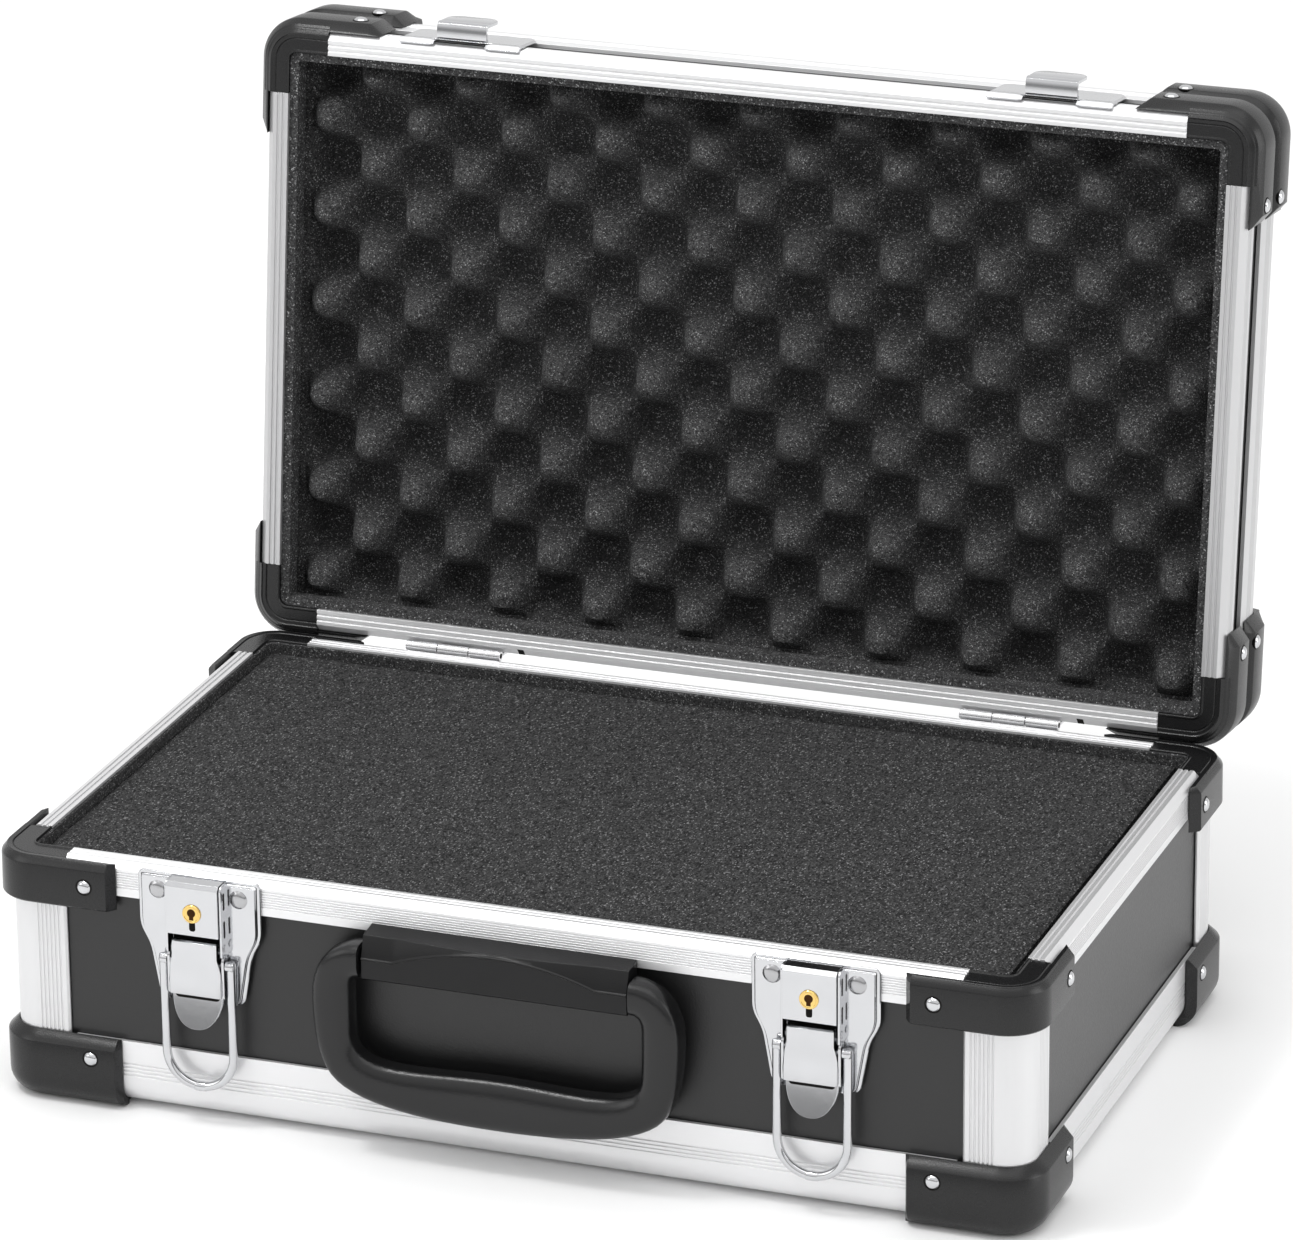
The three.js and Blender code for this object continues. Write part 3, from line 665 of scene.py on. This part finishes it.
def caps():
    """The sixteen caps and their rivets. The lid's caps are upside down, so they mirror in height too."""
    for corner, (across, along) in CORNERS.items():
        base = BASE @ Matrix.Diagonal((across, along, 1, 1))
        rim = base @ Matrix.Translation((0, 0, RIM_HEIGHT))
        cap(f"base_rim_cap_{corner}", rim_cap(height=16.8, ridge=4.3, bevel=2.8, slant=2.4), rim, "base")
        cap(f"foot_cap_{corner}", edge_cap(height=25.3, drop=3.3, slant=1.4), base, "base")
        lid = LID @ Matrix.Diagonal((across, along, -1, 1))
        flat = lid @ Matrix.Translation((0, 0, -LID_DEPTH))
        cap(f"lid_rim_cap_{corner}", rim_cap(height=17.5, ridge=1.6, bevel=5.2, slant=4.5), lid, "lid")
        cap(f"lid_edge_cap_{corner}", edge_cap(height=21, drop=2.5, slant=4), flat, "lid")
    for body, place, heights in (
        ("base", BASE, (18.2, RIM_HEIGHT - 8.8)),
        ("lid", LID, (9.6, LID_DEPTH - 16.5)),
    ):
        finish(f"{body}_cap_rivets", corner_rivets(heights), place, CHROME, body)
        # Painted shade in the holes round the rivets.
        finish(f"{body}_cap_hole_shade", corner_hole_shade(heights), place, PAINTED_SHADE, body)


# ---- Latches -------------------------------------------------------
LEVER_PIVOT = (7, -23.5)  # (out, z) from the front lip edge
BAIL_PIVOT = (6.8, -30)
KEY_DOWN = -11.3  # height of the key's axis
PLATE_TOP = -0.4
PANEL_RISE = 1.8  # of the raised panel, out from the flange's back
PANEL_BACK = RAIL_FACE + 0.5  # where boxes and cheeks start, inside the panel
BOX_HALF = 9.2
BOX_OUT = 10
BOX_TOP = -1
BOX_FOOT = -19.3
CHEEK_IN = 9.4  # the cheeks beside the box, from the latch's middle
CHEEK_OUT = 10.1
CHEEK_FOOT = -27
LEVER_HALF = 9.3
TONGUE_TOP = -40.8
TONGUE_LONG = 12.4
WIRE_HALF = 12.1  # from the latch's middle to the bail's arms
WIRE_FOOT = -75
STRIKE_HALF = 22.5
STRIKE_BACK = RAIL_FACE + 0.02
HOOK_HALF = 9.3
PLATE_RIVET_X = 14.5
PLATE_RIVET_Z = -6.5
PLATE_RIVET_RADIUS = 3.25


def plate_outline(inset=0):
    """The latch plate seen from the front, drawn in at its top and sides."""
    half = [(20.8, PLATE_TOP), (22, -1.6), (22, -20.6), (18.4, -27), (15.2, -45.3)]
    corners = [*half, *[(-x, z) for x, z in reversed(half)]]
    return rounded([(x - math.copysign(inset, x), min(z, PLATE_TOP - inset)) for x, z in corners], 3)


def latch_plate():
    """The plate on the case: a flange round a raised panel, and the box that holds the lock."""
    bm = bmesh.new()
    loft(bm, [
        [facing(x, z, RAIL_FACE + rise) for x, z in plate_outline(inset)]
        for inset, rise in ((0, 0), (0, 0.4), (0.3, 0.75), (1.3, 0.8), (1.75, PANEL_RISE))
    ])
    slope = 1.3
    box = [
        (PANEL_BACK, BOX_TOP),
        (BOX_OUT - slope, BOX_TOP),
        (BOX_OUT, BOX_TOP - slope - 0.1),
        (BOX_OUT, BOX_FOOT),
        (PANEL_BACK, BOX_FOOT),
    ]
    prism(bm, box, along_x, -BOX_HALF, BOX_HALF)
    front = BOX_OUT - 1
    cheek = rounded([
        (PANEL_BACK, BOX_TOP - 0.2),
        (front - 1.2, BOX_TOP - 0.2),
        (front, BOX_TOP - 1.4),
        (front, CHEEK_FOOT + 0.6),
        (front - 0.8, CHEEK_FOOT),
        (PANEL_BACK, CHEEK_FOOT),
    ], 0.6)
    pin_head = ((1.3, 0), (1.3, 0.2), (0.9, 0.4), (0, 0.45))
    for side in (-1, 1):
        prism(bm, cheek, along_x, side * CHEEK_IN, side * CHEEK_OUT)
        turned(bm, pin_head, sideways(side, CHEEK_OUT, *LEVER_PIVOT), 14)
    return bm


def sideways(side, x, out, z):
    """A frame on the front face whose Y points to one side, for pins and their heads."""
    return Matrix.Translation((side * x, out, z)) @ Matrix.Rotation(-side * math.pi / 2, 4, "Z")


def latch_shade_sheets():
    """Painted shade on a latch: dark sheets on its side slots, key notch, open box mouth and flange crease."""
    bm = bmesh.new()
    slot_long = 6
    for side in (-1, 1):
        for top in (-4, -14):
            foot = top - slot_long
            slot = rounded([(6, top), (7.2, top), (7.2, foot), (6, foot)], 0.55)
            prism(bm, slot, along_x, side * (CHEEK_OUT - 0.1), side * (CHEEK_OUT + 0.06))
    notch = rounded([(-1.1, -14.2), (1.1, -14.2), (1.1, -17.6), (-1.1, -17.6)], 0.9)
    prism(bm, notch, facing, BOX_OUT - 0.1, BOX_OUT + 0.04)
    mouth_top = BOX_FOOT + 0.1
    mouth_foot = CHEEK_FOOT + 1
    mouth = [
        (-LEVER_HALF, mouth_top),
        (LEVER_HALF, mouth_top),
        (LEVER_HALF, mouth_foot),
        (-LEVER_HALF, mouth_foot),
    ]
    prism(bm, mouth, facing, 4.4, 4.62)
    outer, inner = plate_outline(1.15), plate_outline(1.5)
    crease = [[facing(x, z, RAIL_FACE + rise) for x, z in line]
              for line, rise in ((outer, 0.7), (outer, 0.83), (inner, 0.95), (inner, 0.7))]
    loft(bm, crease, loop=True)
    return bm


def lever():
    """The pull lever: a shield-shaped front face, side ears, and a half-round thumb tab at the foot."""
    bm = bmesh.new()
    stations = (  # (height, half width, front face)
        (-21.6, 7.9, 8.9),
        (-22.1, 8.1, 9.6),
        (-24, 8.2, 9.9),
        (-27.5, 8.2, 9.9),
        (-30, 8.9, 9.85),
        (-32.5, 9.2, 9.5),
        (-34.5, 9.25, 9.6),
        (-36, LEVER_HALF, 9.9),
        (-40.4, LEVER_HALF, 9.9),
        (-41.1, 9.2, 9.6),
    )
    loft(bm, [
        [(-half, 6, z), (-half, front - 0.5, z), (-half + 0.5, front, z),
         (half - 0.5, front, z), (half, front - 0.5, z), (half, 6, z)]
        for z, half, front in stations
    ])
    rings = []
    steps = 18
    for step in range(steps + 1):
        t = math.radians(88 * step / steps)
        down = math.sin(t)
        half = LEVER_HALF * math.cos(t) ** 0.85
        flat = half * 0.96
        front = 6.9 + 2.7 * down + 0.35 * down ** 2
        core = front - 0.5
        back = front - 1
        section = ((-half, core), (-flat, front), (flat, front), (half, core), (flat, back), (-flat, back))
        rings.append([(x, out, TONGUE_TOP - TONGUE_LONG * down) for x, out in section])
    loft(bm, rings)
    ear = rounded([(4.9, -26.6), (7.6, -26.6), (8.4, -28), (8.4, -41), (7.6, -42), (4.9, -42)], 0.8)
    for side in (-1, 1):
        prism(bm, ear, along_x, side * LEVER_HALF, side * (LEVER_HALF + 0.9))
    return bm


def lever_undercut_shade():
    """Painted shade: a dark band in the undercut between a lever's front face and its tongue."""
    bm = bmesh.new()
    foot = TONGUE_TOP - 2.3
    step = rounded([(-8.3, TONGUE_TOP), (8.3, TONGUE_TOP), (7.6, foot), (-7.6, foot)], 1)
    prism(bm, step, facing, 6.6, 7.42)
    return bm


def bail():
    """The wire loop, with its welded joint at the bottom and the heads of its pivot pins."""
    bm = bmesh.new()
    wire = 1.55  # radius
    out = BAIL_PIVOT[0]
    bend = WIRE_FOOT + WIRE_HALF
    arm = (-28.5, -51, bend)
    steps = 20
    path = [((-WIRE_HALF, z), (1, 0)) for z in arm]
    path += [
        ((WIRE_HALF * math.cos(a), bend + WIRE_HALF * math.sin(a)), (-math.cos(a), -math.sin(a)))
        for a in (math.pi * (1 + i / steps) for i in range(1, steps))
    ]
    path += [((WIRE_HALF, z), (-1, 0)) for z in reversed(arm)]
    narrow = 11.25  # degrees: the section's last side is narrower than its other fifteen
    section = arc((0, 0), wire, 0, 360 - narrow, 15)
    rings = []
    for (x, z), (across, up) in path:
        rings.append([(x + across * a, out + b * 0.96, z + up * a) for a, b in section])
    loft(bm, rings)
    weld = ((1.2, -2.2), (1.65, -1.8), (1.7, 0), (1.65, 1.8), (1.2, 2.2))
    turned(bm, weld, sideways(1, 0, out, WIRE_FOOT), 14)
    eye = ((1.8, -1.6), (1.8, 0.9), (1.4, 1.3), (0, 1.4))
    for side in (-1, 1):
        turned(bm, eye, sideways(side, WIRE_HALF, *BAIL_PIVOT), 18)
    turned(bm, ((0.85, -10.2), (0.85, 10.2)), sideways(1, 0, *BAIL_PIVOT), 12)
    return bm


def key_cylinder():
    """The lock's round brass face, with a raised rim."""
    bm = bmesh.new()
    face = ((3.3, -2.2), (3.3, 2.1), (3.1, 2.35), (2.7, 2.4), (2.5, 2.25), (0, 2.25))
    turned(bm, face, Matrix.Translation((0, 8.3, KEY_DOWN)), 32)
    return bm


def key_hole():
    """Painted shade in the key way: a dark sheet shaped as a round socket with a slot below it."""
    bm = bmesh.new()
    socket = arc((0, KEY_DOWN + 0.4), 1.5, -60, 240, 16)
    slot = [*socket, (-0.75, KEY_DOWN - 2.1), (0.75, KEY_DOWN - 2.1)]
    prism(bm, slot, facing, BOX_OUT, BOX_OUT + 0.6)
    return bm


def strike():
    """The plate on the lid, with folded wings, and the hook that the wire loop draws down on."""
    bm = bmesh.new()
    turn = 4  # corner radius of the plate and of the hook's tongue
    right_turn = arc((STRIKE_HALF - turn, 17), turn, 0, 90, 6)
    left_turn = arc((turn - STRIKE_HALF, 17), turn, 90, 180, 6)
    plate = [(-STRIKE_HALF, 3.4), (STRIKE_HALF, 3.4), *right_turn, *left_turn]
    inset = [(x * 0.965, min(z, 20.2)) for x, z in plate]
    loft(bm, [
        [facing(x, z, RAIL_FACE) for x, z in plate],
        [facing(x, z, RAIL_FACE + 0.4) for x, z in plate],
        [facing(x, z, RAIL_FACE + 1) for x, z in inset],
    ])
    wing = [(STRIKE_BACK, 4.6), (STRIKE_BACK, 2.3), (1.5, 1.05), (2.15, 0.4), (3.7, 1.9), (3.7, 4.6)]
    for side in (-1, 1):
        rings = []
        for x, squeeze in ((9.6, 0.55), (11.5, 1), (21.7, 1), (STRIKE_HALF, 0.75)):
            rings.append([(side * x, STRIKE_BACK + (out - STRIKE_BACK) * squeeze, z) for out, z in wing])
        loft(bm, rings)
    hook = [
        (3.3, 5.2), (3.35, 4.2), (3.9, 3.45), (5, 3.2), (8.3, 3.25), (9.3, 3.6), (9.85, 4.6), (9.9, 6),
        (8.75, 6), (8.65, 5), (8, 4.45), (5.2, 4.4), (4.6, 4.7), (4.4, 5.2),
    ]
    prism(bm, hook, along_x, -HOOK_HALF, HOOK_HALF)
    right_turn = arc((HOOK_HALF - turn, 13.5), turn, 0, 90, 6)
    left_turn = arc((turn - HOOK_HALF, 13.5), turn, 90, 180, 6)
    tongue = [(-HOOK_HALF, 5.8), (HOOK_HALF, 5.8), *right_turn, *left_turn]
    front = prism(bm, tongue, facing, 8.7, 9.9)[1]
    chamfer(bm, front, 0.35)
    return bm


def strike_shadow():
    """Painted shade: a dark sheet in the mouth between a strike's wings, under its hook."""
    bm = bmesh.new()
    mouth = [(-10.4, 2.5), (10.4, 2.5), (9.4, 1.2), (-9.4, 1.2)]
    prism(bm, mouth, facing, STRIKE_BACK, 3.05)
    return bm


def latches():
    """Both latches on the base, and the strike on the lid above each."""
    for side, across in (("left", -1), ("right", 1)):
        place = on_front(BASE, across * LATCH_X, RIM_HEIGHT)
        plate = f"latch_plate_{side}"
        finish(f"{plate}_pressing", latch_plate(), place, CHROME, "base", [plate], 0.25)
        # Dark sheets of painted shade on the latch's slots, notch, mouth and crease.
        finish(f"{plate}_slots", latch_shade_sheets(), place, PAINTED_SHADE, "base")
        rivets = bmesh.new()
        for x in (-PLATE_RIVET_X, PLATE_RIVET_X):
            seat = Matrix.Translation((x, RAIL_FACE + PANEL_RISE - 0.1, PLATE_RIVET_Z))
            rivet_head(rivets, seat, PLATE_RIVET_RADIUS)
        finish(f"{plate}_rivets", rivets, place, RIVET, "base")
        finish(f"latch_lever_{side}_pressing", lever(), place, CHROME, f"lever_{side}",
               [f"latch_lever_{side}"], 0.2)
        # Painted shade under the lever's front face.
        finish(f"latch_lever_{side}_step", lever_undercut_shade(), place, PAINTED_SHADE, f"lever_{side}")
        finish(f"latch_bail_{side}_wire", bail(), place, CHROME, f"bail_{side}",
               [f"latch_bail_{side}"], 0.1)
        lock = f"lock_cylinder_{side}"
        finish(f"{lock}_face", key_cylinder(), place, BRASS, f"lock_{side}", [lock], 0.08)
        finish(f"{lock}_keyway", key_hole(), place, KEY_HOLE_SHADE, f"lock_{side}")
        lid_place = on_front(LID, across * LATCH_X)
        strike_name = f"strike_plate_{side}"
        finish(f"{strike_name}_pressing", strike(), lid_place, CHROME, "lid", [strike_name], 0.15)
        # Painted shade in the strike's mouth.
        finish(f"{strike_name}_mouth", strike_shadow(), lid_place, PAINTED_SHADE, "lid")


# ---- Handle --------------------------------------------------------
BRACKET_HALF = 46.5
ARCH_HALF = 35.4
BOSS_X = 47.4  # where the grip's loop starts, at its pin
GRIP_BACK = 3.3
GRIP_FRONT = 15.1
GRIP_PIVOT = (8, -17.5)  # (out, z) from the front lip edge


def bracket():
    """The handle's mount: a moulded bar, its front raised under a beaded arch."""
    bm = bmesh.new()
    steps = 84
    rings = []
    for step in range(steps + 1):
        x = -BRACKET_HALF + 2 * BRACKET_HALF * step / steps
        arch = max(1 - (x / ARCH_HALF) ** 2, 0)
        ridge = -17.6 + 6.6 * arch
        lean = 1.9 * (1 - arch)
        rings.append([
            (x, RAIL_FACE, -25),
            (x, 12.4, -25),
            (x, 13, -24.4),
            (x, 13.15, ridge - 0.45),
            (x, 13.55, ridge - 0.15),
            (x, 13.5, ridge + 0.2),
            (x, 13, ridge + 0.5),
            (x, 12.7 - lean, -10.4),
            (x, 12.3 - lean, -9.9),
            (x, RAIL_FACE, -8.9),
        ])
    loft(bm, rings)
    return bm


def bezier(start, first, second, end, steps):
    """Points along a cubic curve, without its start."""
    start, first, second, end = (Vector(point) for point in (start, first, second, end))
    points = []
    for step in range(1, steps + 1):
        t = step / steps
        points.append(
            start * (1 - t) ** 3 + first * 3 * t * (1 - t) ** 2 + second * 3 * t ** 2 * (1 - t) + end * t ** 3
        )
    return points


def grip_lines():
    """The grip's outer and inner edges seen from the front, from the right boss to the middle of the bar."""
    outer = [Vector((BOSS_X, -13))]
    outer += bezier((BOSS_X, -13), (58, -13), (64.6, -21), (64.6, -33), 9)
    outer += bezier((64.6, -33), (64.6, -44), (63.4, -52), (59.9, -59), 8)
    outer += bezier((59.9, -59), (54, -69.8), (30, -73.2), (0, -73.2), 14)
    inner = [Vector((BOSS_X, -25.1))]
    inner += bezier((BOSS_X, -25.1), (49.4, -25.2), (50.7, -26), (50.7, -30), 9)
    inner += bezier((50.7, -30), (50.7, -36), (50.7, -41), (50.7, -46), 8)
    inner += bezier((50.7, -46), (50.7, -60), (26, -54.8), (0, -54.8), 14)
    return outer, inner


def grip():
    """The moulded grip: a D-shaped loop, fuller along the bar where the hand goes."""
    bm = bmesh.new()
    outer, inner = grip_lines()
    pairs = list(zip(outer, inner))
    halves = [(far, near, 1) for far, near in pairs]
    halves += [(far, near, -1) for far, near in pairs[-2::-1]]
    middle = (GRIP_FRONT + GRIP_BACK) / 2
    deepest = (GRIP_FRONT - GRIP_BACK) / 2
    sides = 28
    section = arc((0, 0), 1, 0, 360 - 360 / sides, sides - 1)
    rings = []
    for far, near, side in halves:
        centre = (far + near) / 2
        reach = (far - near) / 2
        ring = []
        for a, b in section:
            across = math.copysign(abs(a) ** (0.62 if a > 0 else 0.9), a)
            deep = math.copysign(abs(b) ** (0.5 if a > 0 else 0.75), b)
            spot = centre + reach * across
            ring.append((side * spot.x, middle + deep * deepest, spot.y))
        rings.append(ring)
    loft(bm, rings)
    pin = ((3, -2.6), (3, 0.6))
    for side in (-1, 1):
        turned(bm, pin, sideways(side, BOSS_X - 1, *GRIP_PIVOT), 18)
    return bm


def handle():
    """The bracket and its grip."""
    place = on_front(BASE, 0, RIM_HEIGHT)
    finish("handle_bracket_moulding", bracket(), place, BRACKET_PLASTIC, "base",
           ["handle_bracket"], 0.2)
    finish("handle_grip_moulding", grip(), place, LEATHER_GRAIN, "grip", ["handle_grip"])


# ---- Foam ----------------------------------------------------------
FOAM_LEFT = 6.4  # gap from the lip's outer edge to the base block on its snug side
FOAM_RIGHT = 10.5  # and on the side where the block is cut short
FOAM_DOWN = 3.5  # from the rim to the base block's top
FOAM_FLOOR = 8.2
WAVE_X = 35.4  # from one peak of the egg crate to the next, along the case and across it
WAVE_Y = 33.7
PEAK_DOWN = 5.5  # from the lid's rim to the egg crate's peaks, valleys and flat back
VALLEY_DOWN = 26
CRATE_BACK = 29
PEAK_X = -142  # the place of one peak, along the case and out from the hinge's side
PEAK_S = 200.5


def dip(x, y, size, seed):
    """A soft unevenness, from about -1 to 1, with lumps of a size in millimetres."""
    return noise.noise(Vector((x / size, y / size, seed)))


def base_foam():
    """The block that fills the base, with soft cut edges and a faintly uneven top."""
    bm = bmesh.new()
    painted_light_level = bm.verts.layers.float.new("painted_light_level")
    low_x = -HALF_X + FOAM_LEFT
    high_x = HALF_X - FOAM_RIGHT
    side_y = HALF_Y - FOAM_LEFT
    columns, rows = 120, 72
    top = RIM_HEIGHT - FOAM_DOWN
    roll_drop = 1.3  # how far the top rolls off at the edge, and over what distance
    roll_width = 1.1
    grid = []
    for row in range(rows + 1):
        line = []
        for column in range(columns + 1):
            x = low_x + (high_x - low_x) * column / columns
            y = -side_y + 2 * side_y * row / rows
            edge = min(x - low_x, high_x - x, y + side_y, side_y - y)
            roll = roll_drop * math.exp(-edge / roll_width)
            dips = dip(x, y, 26, 0) * 0.35 + dip(x, y, 6, 3) * 0.12
            line.append(bm.verts.new((x, y, top - roll - 0.5 + dips)))
            # The whole top is painted as lit as a crest.
            line[-1][painted_light_level] = 1
        grid.append(line)
    skin_grid(bm, grid)
    close_below(bm, grid, FOAM_FLOOR)
    return bm


def skin_grid(bm, grid):
    """Skins rows of points, each with the same count."""
    for first, second in zip(grid, grid[1:]):
        for i in range(len(first) - 1):
            bm.faces.new((first[i], first[i + 1], second[i + 1], second[i]))


def close_below(bm, grid, floor):
    """Drops walls from the grid's rim to a flat floor, and closes it."""
    rim = grid[0] + [line[-1] for line in grid[1:]] + grid[-1][-2::-1] + [line[0] for line in grid[-2:0:-1]]
    foot = [bm.verts.new((vert.co.x, vert.co.y, floor)) for vert in rim]
    for i in range(len(rim)):
        bm.faces.new((rim[i - 1], rim[i], foot[i], foot[i - 1]))
    bm.faces.new(foot)


def wave(x, s):
    """The height of the egg-crate foam, 0 in its valleys and 1 on its peaks, s from the hinge's side."""
    phase_x = 2 * math.pi * (x - PEAK_X) / WAVE_X
    phase_s = 2 * math.pi * (s - PEAK_S) / WAVE_Y
    level = (0.5 + 0.5 * math.cos(phase_x) * math.cos(phase_s)) ** 1.3
    return level * level * (3 - 2 * level)


def lid_foam():
    """Egg-crate foam that lines the lid, its outline rounded at the corners like the lid's."""
    bm = bmesh.new()
    painted_light_level = bm.verts.layers.float.new("painted_light_level")
    half_x = HALF_X - FOAM_IN - 0.3
    half_y = HALF_Y - FOAM_IN - 0.3
    corner = CORNER - FOAM_IN
    edge_height = 0.6  # the wave evens out to this height, over this distance from the edge
    settle_over = 6
    columns, rows = 150, 92
    grid = []
    for row in range(rows + 1):
        line = []
        for column in range(columns + 1):
            x = -half_x + 2 * half_x * column / columns
            y = -half_y + 2 * half_y * row / rows
            over_x = max(abs(x) - half_x + corner, 0)
            over_y = max(abs(y) - half_y + corner, 0)
            reach = math.hypot(over_x, over_y)
            if reach > corner:
                x = math.copysign(half_x - corner + over_x * corner / reach, x)
                y = math.copysign(half_y - corner + over_y * corner / reach, y)
            settle = min((half_x - abs(x)) / settle_over, (half_y - abs(y)) / settle_over, 1)
            height = edge_height + (wave(x, HALF_Y - y) - edge_height) * settle
            rough = dip(x, y, 9, 0) * 0.8 + dip(x, y, 3, 7) * 0.3
            depth = VALLEY_DOWN - (VALLEY_DOWN - PEAK_DOWN) * height - rough
            line.append(bm.verts.new((x, y, depth)))
            # The wave's height also sets the painted light: painted shade in the valleys, painted light on the
            # peaks.
            line[-1][painted_light_level] = height
        grid.append(line)
    skin_grid(bm, grid)
    close_below(bm, grid, CRATE_BACK)
    return bm


def lining(top, bottom, outside, inside, inward):
    """A strip of foam along the walls. Outside and inside are distances in from the edge of the lip, top and
    bottom are heights from the rim, and inward is 1 or -1, for the way into the case."""
    bm = bmesh.new()
    painted_light_level = bm.verts.layers.float.new("painted_light_level")
    inner_top = top - 0.4 * inward
    rings = []
    for depth, distance in ((bottom, outside), (top, outside), (inner_top, inside), (bottom, inside)):
        radius = max(CORNER - distance, 1)
        x = HALF_X - distance - radius
        y = HALF_Y - distance - radius
        ring = []
        for turn, (across, along) in enumerate(((1, 1), (-1, 1), (-1, -1), (1, -1))):
            for a, b in arc((across * x, along * y), radius, 90 * turn, 90 * turn + 90, 8):
                ring.append((a, b, depth))
        rings.append(ring)
    loft(bm, rings, loop=True)
    for vert in bm.verts:
        # A middle painted light level, between the hollows' painted shade and the crests' painted light.
        vert[painted_light_level] = 0.5
    return bm


def foams():
    """The base's block, the lid's egg crate, and the lining round each mouth."""
    block = finish("base_foam_block", base_foam(), BASE, DARKENED_BASE_FOAM, "base", ["base_foam"])
    crate = finish("lid_foam_crate", lid_foam(), LID, FOAM, "lid", ["lid_foam"])
    rim = BASE @ Matrix.Translation((0, 0, RIM_HEIGHT))
    base_lining = lining(top=-0.9, bottom=-7.6, outside=5.56, inside=6.35, inward=1)
    base_strip = finish("base_foam_lining", base_lining, rim, FOAM, "base")
    lid_lining = lining(top=1.5, bottom=9, outside=5.58, inside=8.6, inward=-1)
    lid_strip = finish("lid_foam_lining", lid_lining, LID, LINING_FOAM, "lid")


# ---- Hinges --------------------------------------------------------
HINGE_HALF = 18  # of the knuckles, along the pin
SLOT_GAP = 6.2  # from a hinge's end to the slot beside it
SLOT_WIDE = 2.3


def along_back(out, z, x):
    """Places a side view's outline on the back lip edge, drawn out along x."""
    return (x, HALF_Y + out, z)


def hinge_shade_sheets():
    """Painted shade: a dark disc at the end of each hinge pin's bore, and a dark sheet on the slot beside each
    hinge in the lid's rail.
    """
    bm = bmesh.new()
    bevel = [(0.15, 0.05), (2.35, 2.25), (2.25, 2.4), (0.05, 0.2)]
    for side in (-1, 1):
        end = side * HINGE_X + HINGE_HALF
        prism(bm, bevel, along_back, end + SLOT_GAP, end + SLOT_GAP + SLOT_WIDE)
        axis = Matrix.Translation((end + 0.03, HALF_Y + HINGE_OUT, HINGE_UP - CLOSED_GAP))
        turned(bm, ((0.95, -0.3), (0.95, 0.05)), axis @ Matrix.Rotation(-math.pi / 2, 4, "Z"), 16)
    return bm


# ---- Room ----------------------------------------------------------
FLOOR_HALF = 9  # metres, like everything in this section


def add_floor():
    """A wide pale floor."""
    nodes = Nodes("floor")
    mottle = nodes.noise(6, 3)
    nodes.set(Base_Color=nodes.mixed(mottle, (0.9, 0.9, 0.9), (0.93, 0.93, 0.93)), Roughness=0.7)
    bm = bmesh.new()
    square = ((-1, -1), (1, -1), (1, 1), (-1, 1))
    bm.faces.new([bm.verts.new((x * FLOOR_HALF, y * FLOOR_HALF, 0)) for x, y in square])
    mesh = bpy.data.meshes.new("floor")
    bm.to_mesh(mesh)
    bm.free()
    mesh.materials.append(nodes.material)
    floor = bpy.data.objects.new("floor", mesh)
    bpy.context.scene.collection.objects.link(floor)


def add_light(name, at, target, size, power):
    """A rectangular lamp that faces its target, with its power in watts."""
    data = bpy.data.lights.new(name, "AREA")
    data.shape = "RECTANGLE"
    data.size, data.size_y = size
    data.energy = power
    light = bpy.data.objects.new(name, data)
    light.location = at
    light.rotation_euler = (Vector(target) - Vector(at)).to_track_quat("-Z", "Y").to_euler()
    bpy.context.scene.collection.objects.link(light)


def make_world():
    """A white studio. In front it darkens near the horizon, so that bright metal has some dark to reflect."""
    world = bpy.data.worlds.new("studio")
    world.use_nodes = True
    tree = world.node_tree
    coordinates = tree.nodes.new("ShaderNodeTexCoord")
    axes = tree.nodes.new("ShaderNodeSeparateXYZ")
    tree.links.new(coordinates.outputs["Generated"], axes.inputs["Vector"])
    ramp = tree.nodes.new("ShaderNodeValToRGB")
    tree.links.new(axes.outputs["Z"], ramp.inputs["Fac"])
    stops = ((0, 0.45), (0.1, 0.3), (0.3, 0.95), (1, 1))
    elements = ramp.color_ramp.elements
    while len(elements) < len(stops):
        elements.new(0.5)
    for element, (position, level) in zip(elements, stops):
        element.position = position
        element.color = (level, level, level, 1)
    behind = tree.nodes.new("ShaderNodeMapRange")  # 0 in front of these directions, and 1 behind them
    behind.inputs["From Min"].default_value = -0.5
    behind.inputs["From Max"].default_value = 0.3
    tree.links.new(axes.outputs["Y"], behind.inputs["Value"])
    blend = tree.nodes.new("ShaderNodeMix")
    blend.data_type = "RGBA"
    blend.inputs["B"].default_value = (0.9, 0.9, 0.9, 1)
    tree.links.new(behind.outputs["Result"], blend.inputs["Factor"])
    tree.links.new(ramp.outputs["Color"], blend.inputs["A"])
    background = tree.nodes["Background"]
    tree.links.new(blend.outputs["Result"], background.inputs["Color"])
    background.inputs["Strength"].default_value = 1.0
    return world


def add_lights():
    """The soft studio: the world, a broad lamp above, and smaller ones to shape the edges."""
    bpy.context.scene.world = make_world()
    bpy.context.scene.view_settings.view_transform = "Standard"
    middle = (0, 0, 0.12)
    add_light("overhead", (0.1, -0.3, 1.9), middle, size=(2.2, 1.8), power=13)
    add_light("small_top", (-0.6, -0.55, 1.7), middle, size=(0.3, 0.3), power=7)
    add_light("left_front", (-1.6, -1.4, 1.0), middle, size=(1.2, 1.2), power=6)
    add_light("right", (2.0, 0.1, 0.6), middle, size=(0.9, 1.4), power=9)


keep_frame()
caps()
latches()
handle()
foams()
# Painted shade at the hinge bores and the slots beside the hinges.
finish("hinge_bore_shade", hinge_shade_sheets(), LID, PAINTED_SHADE, "lid")
add_floor()
add_lights()
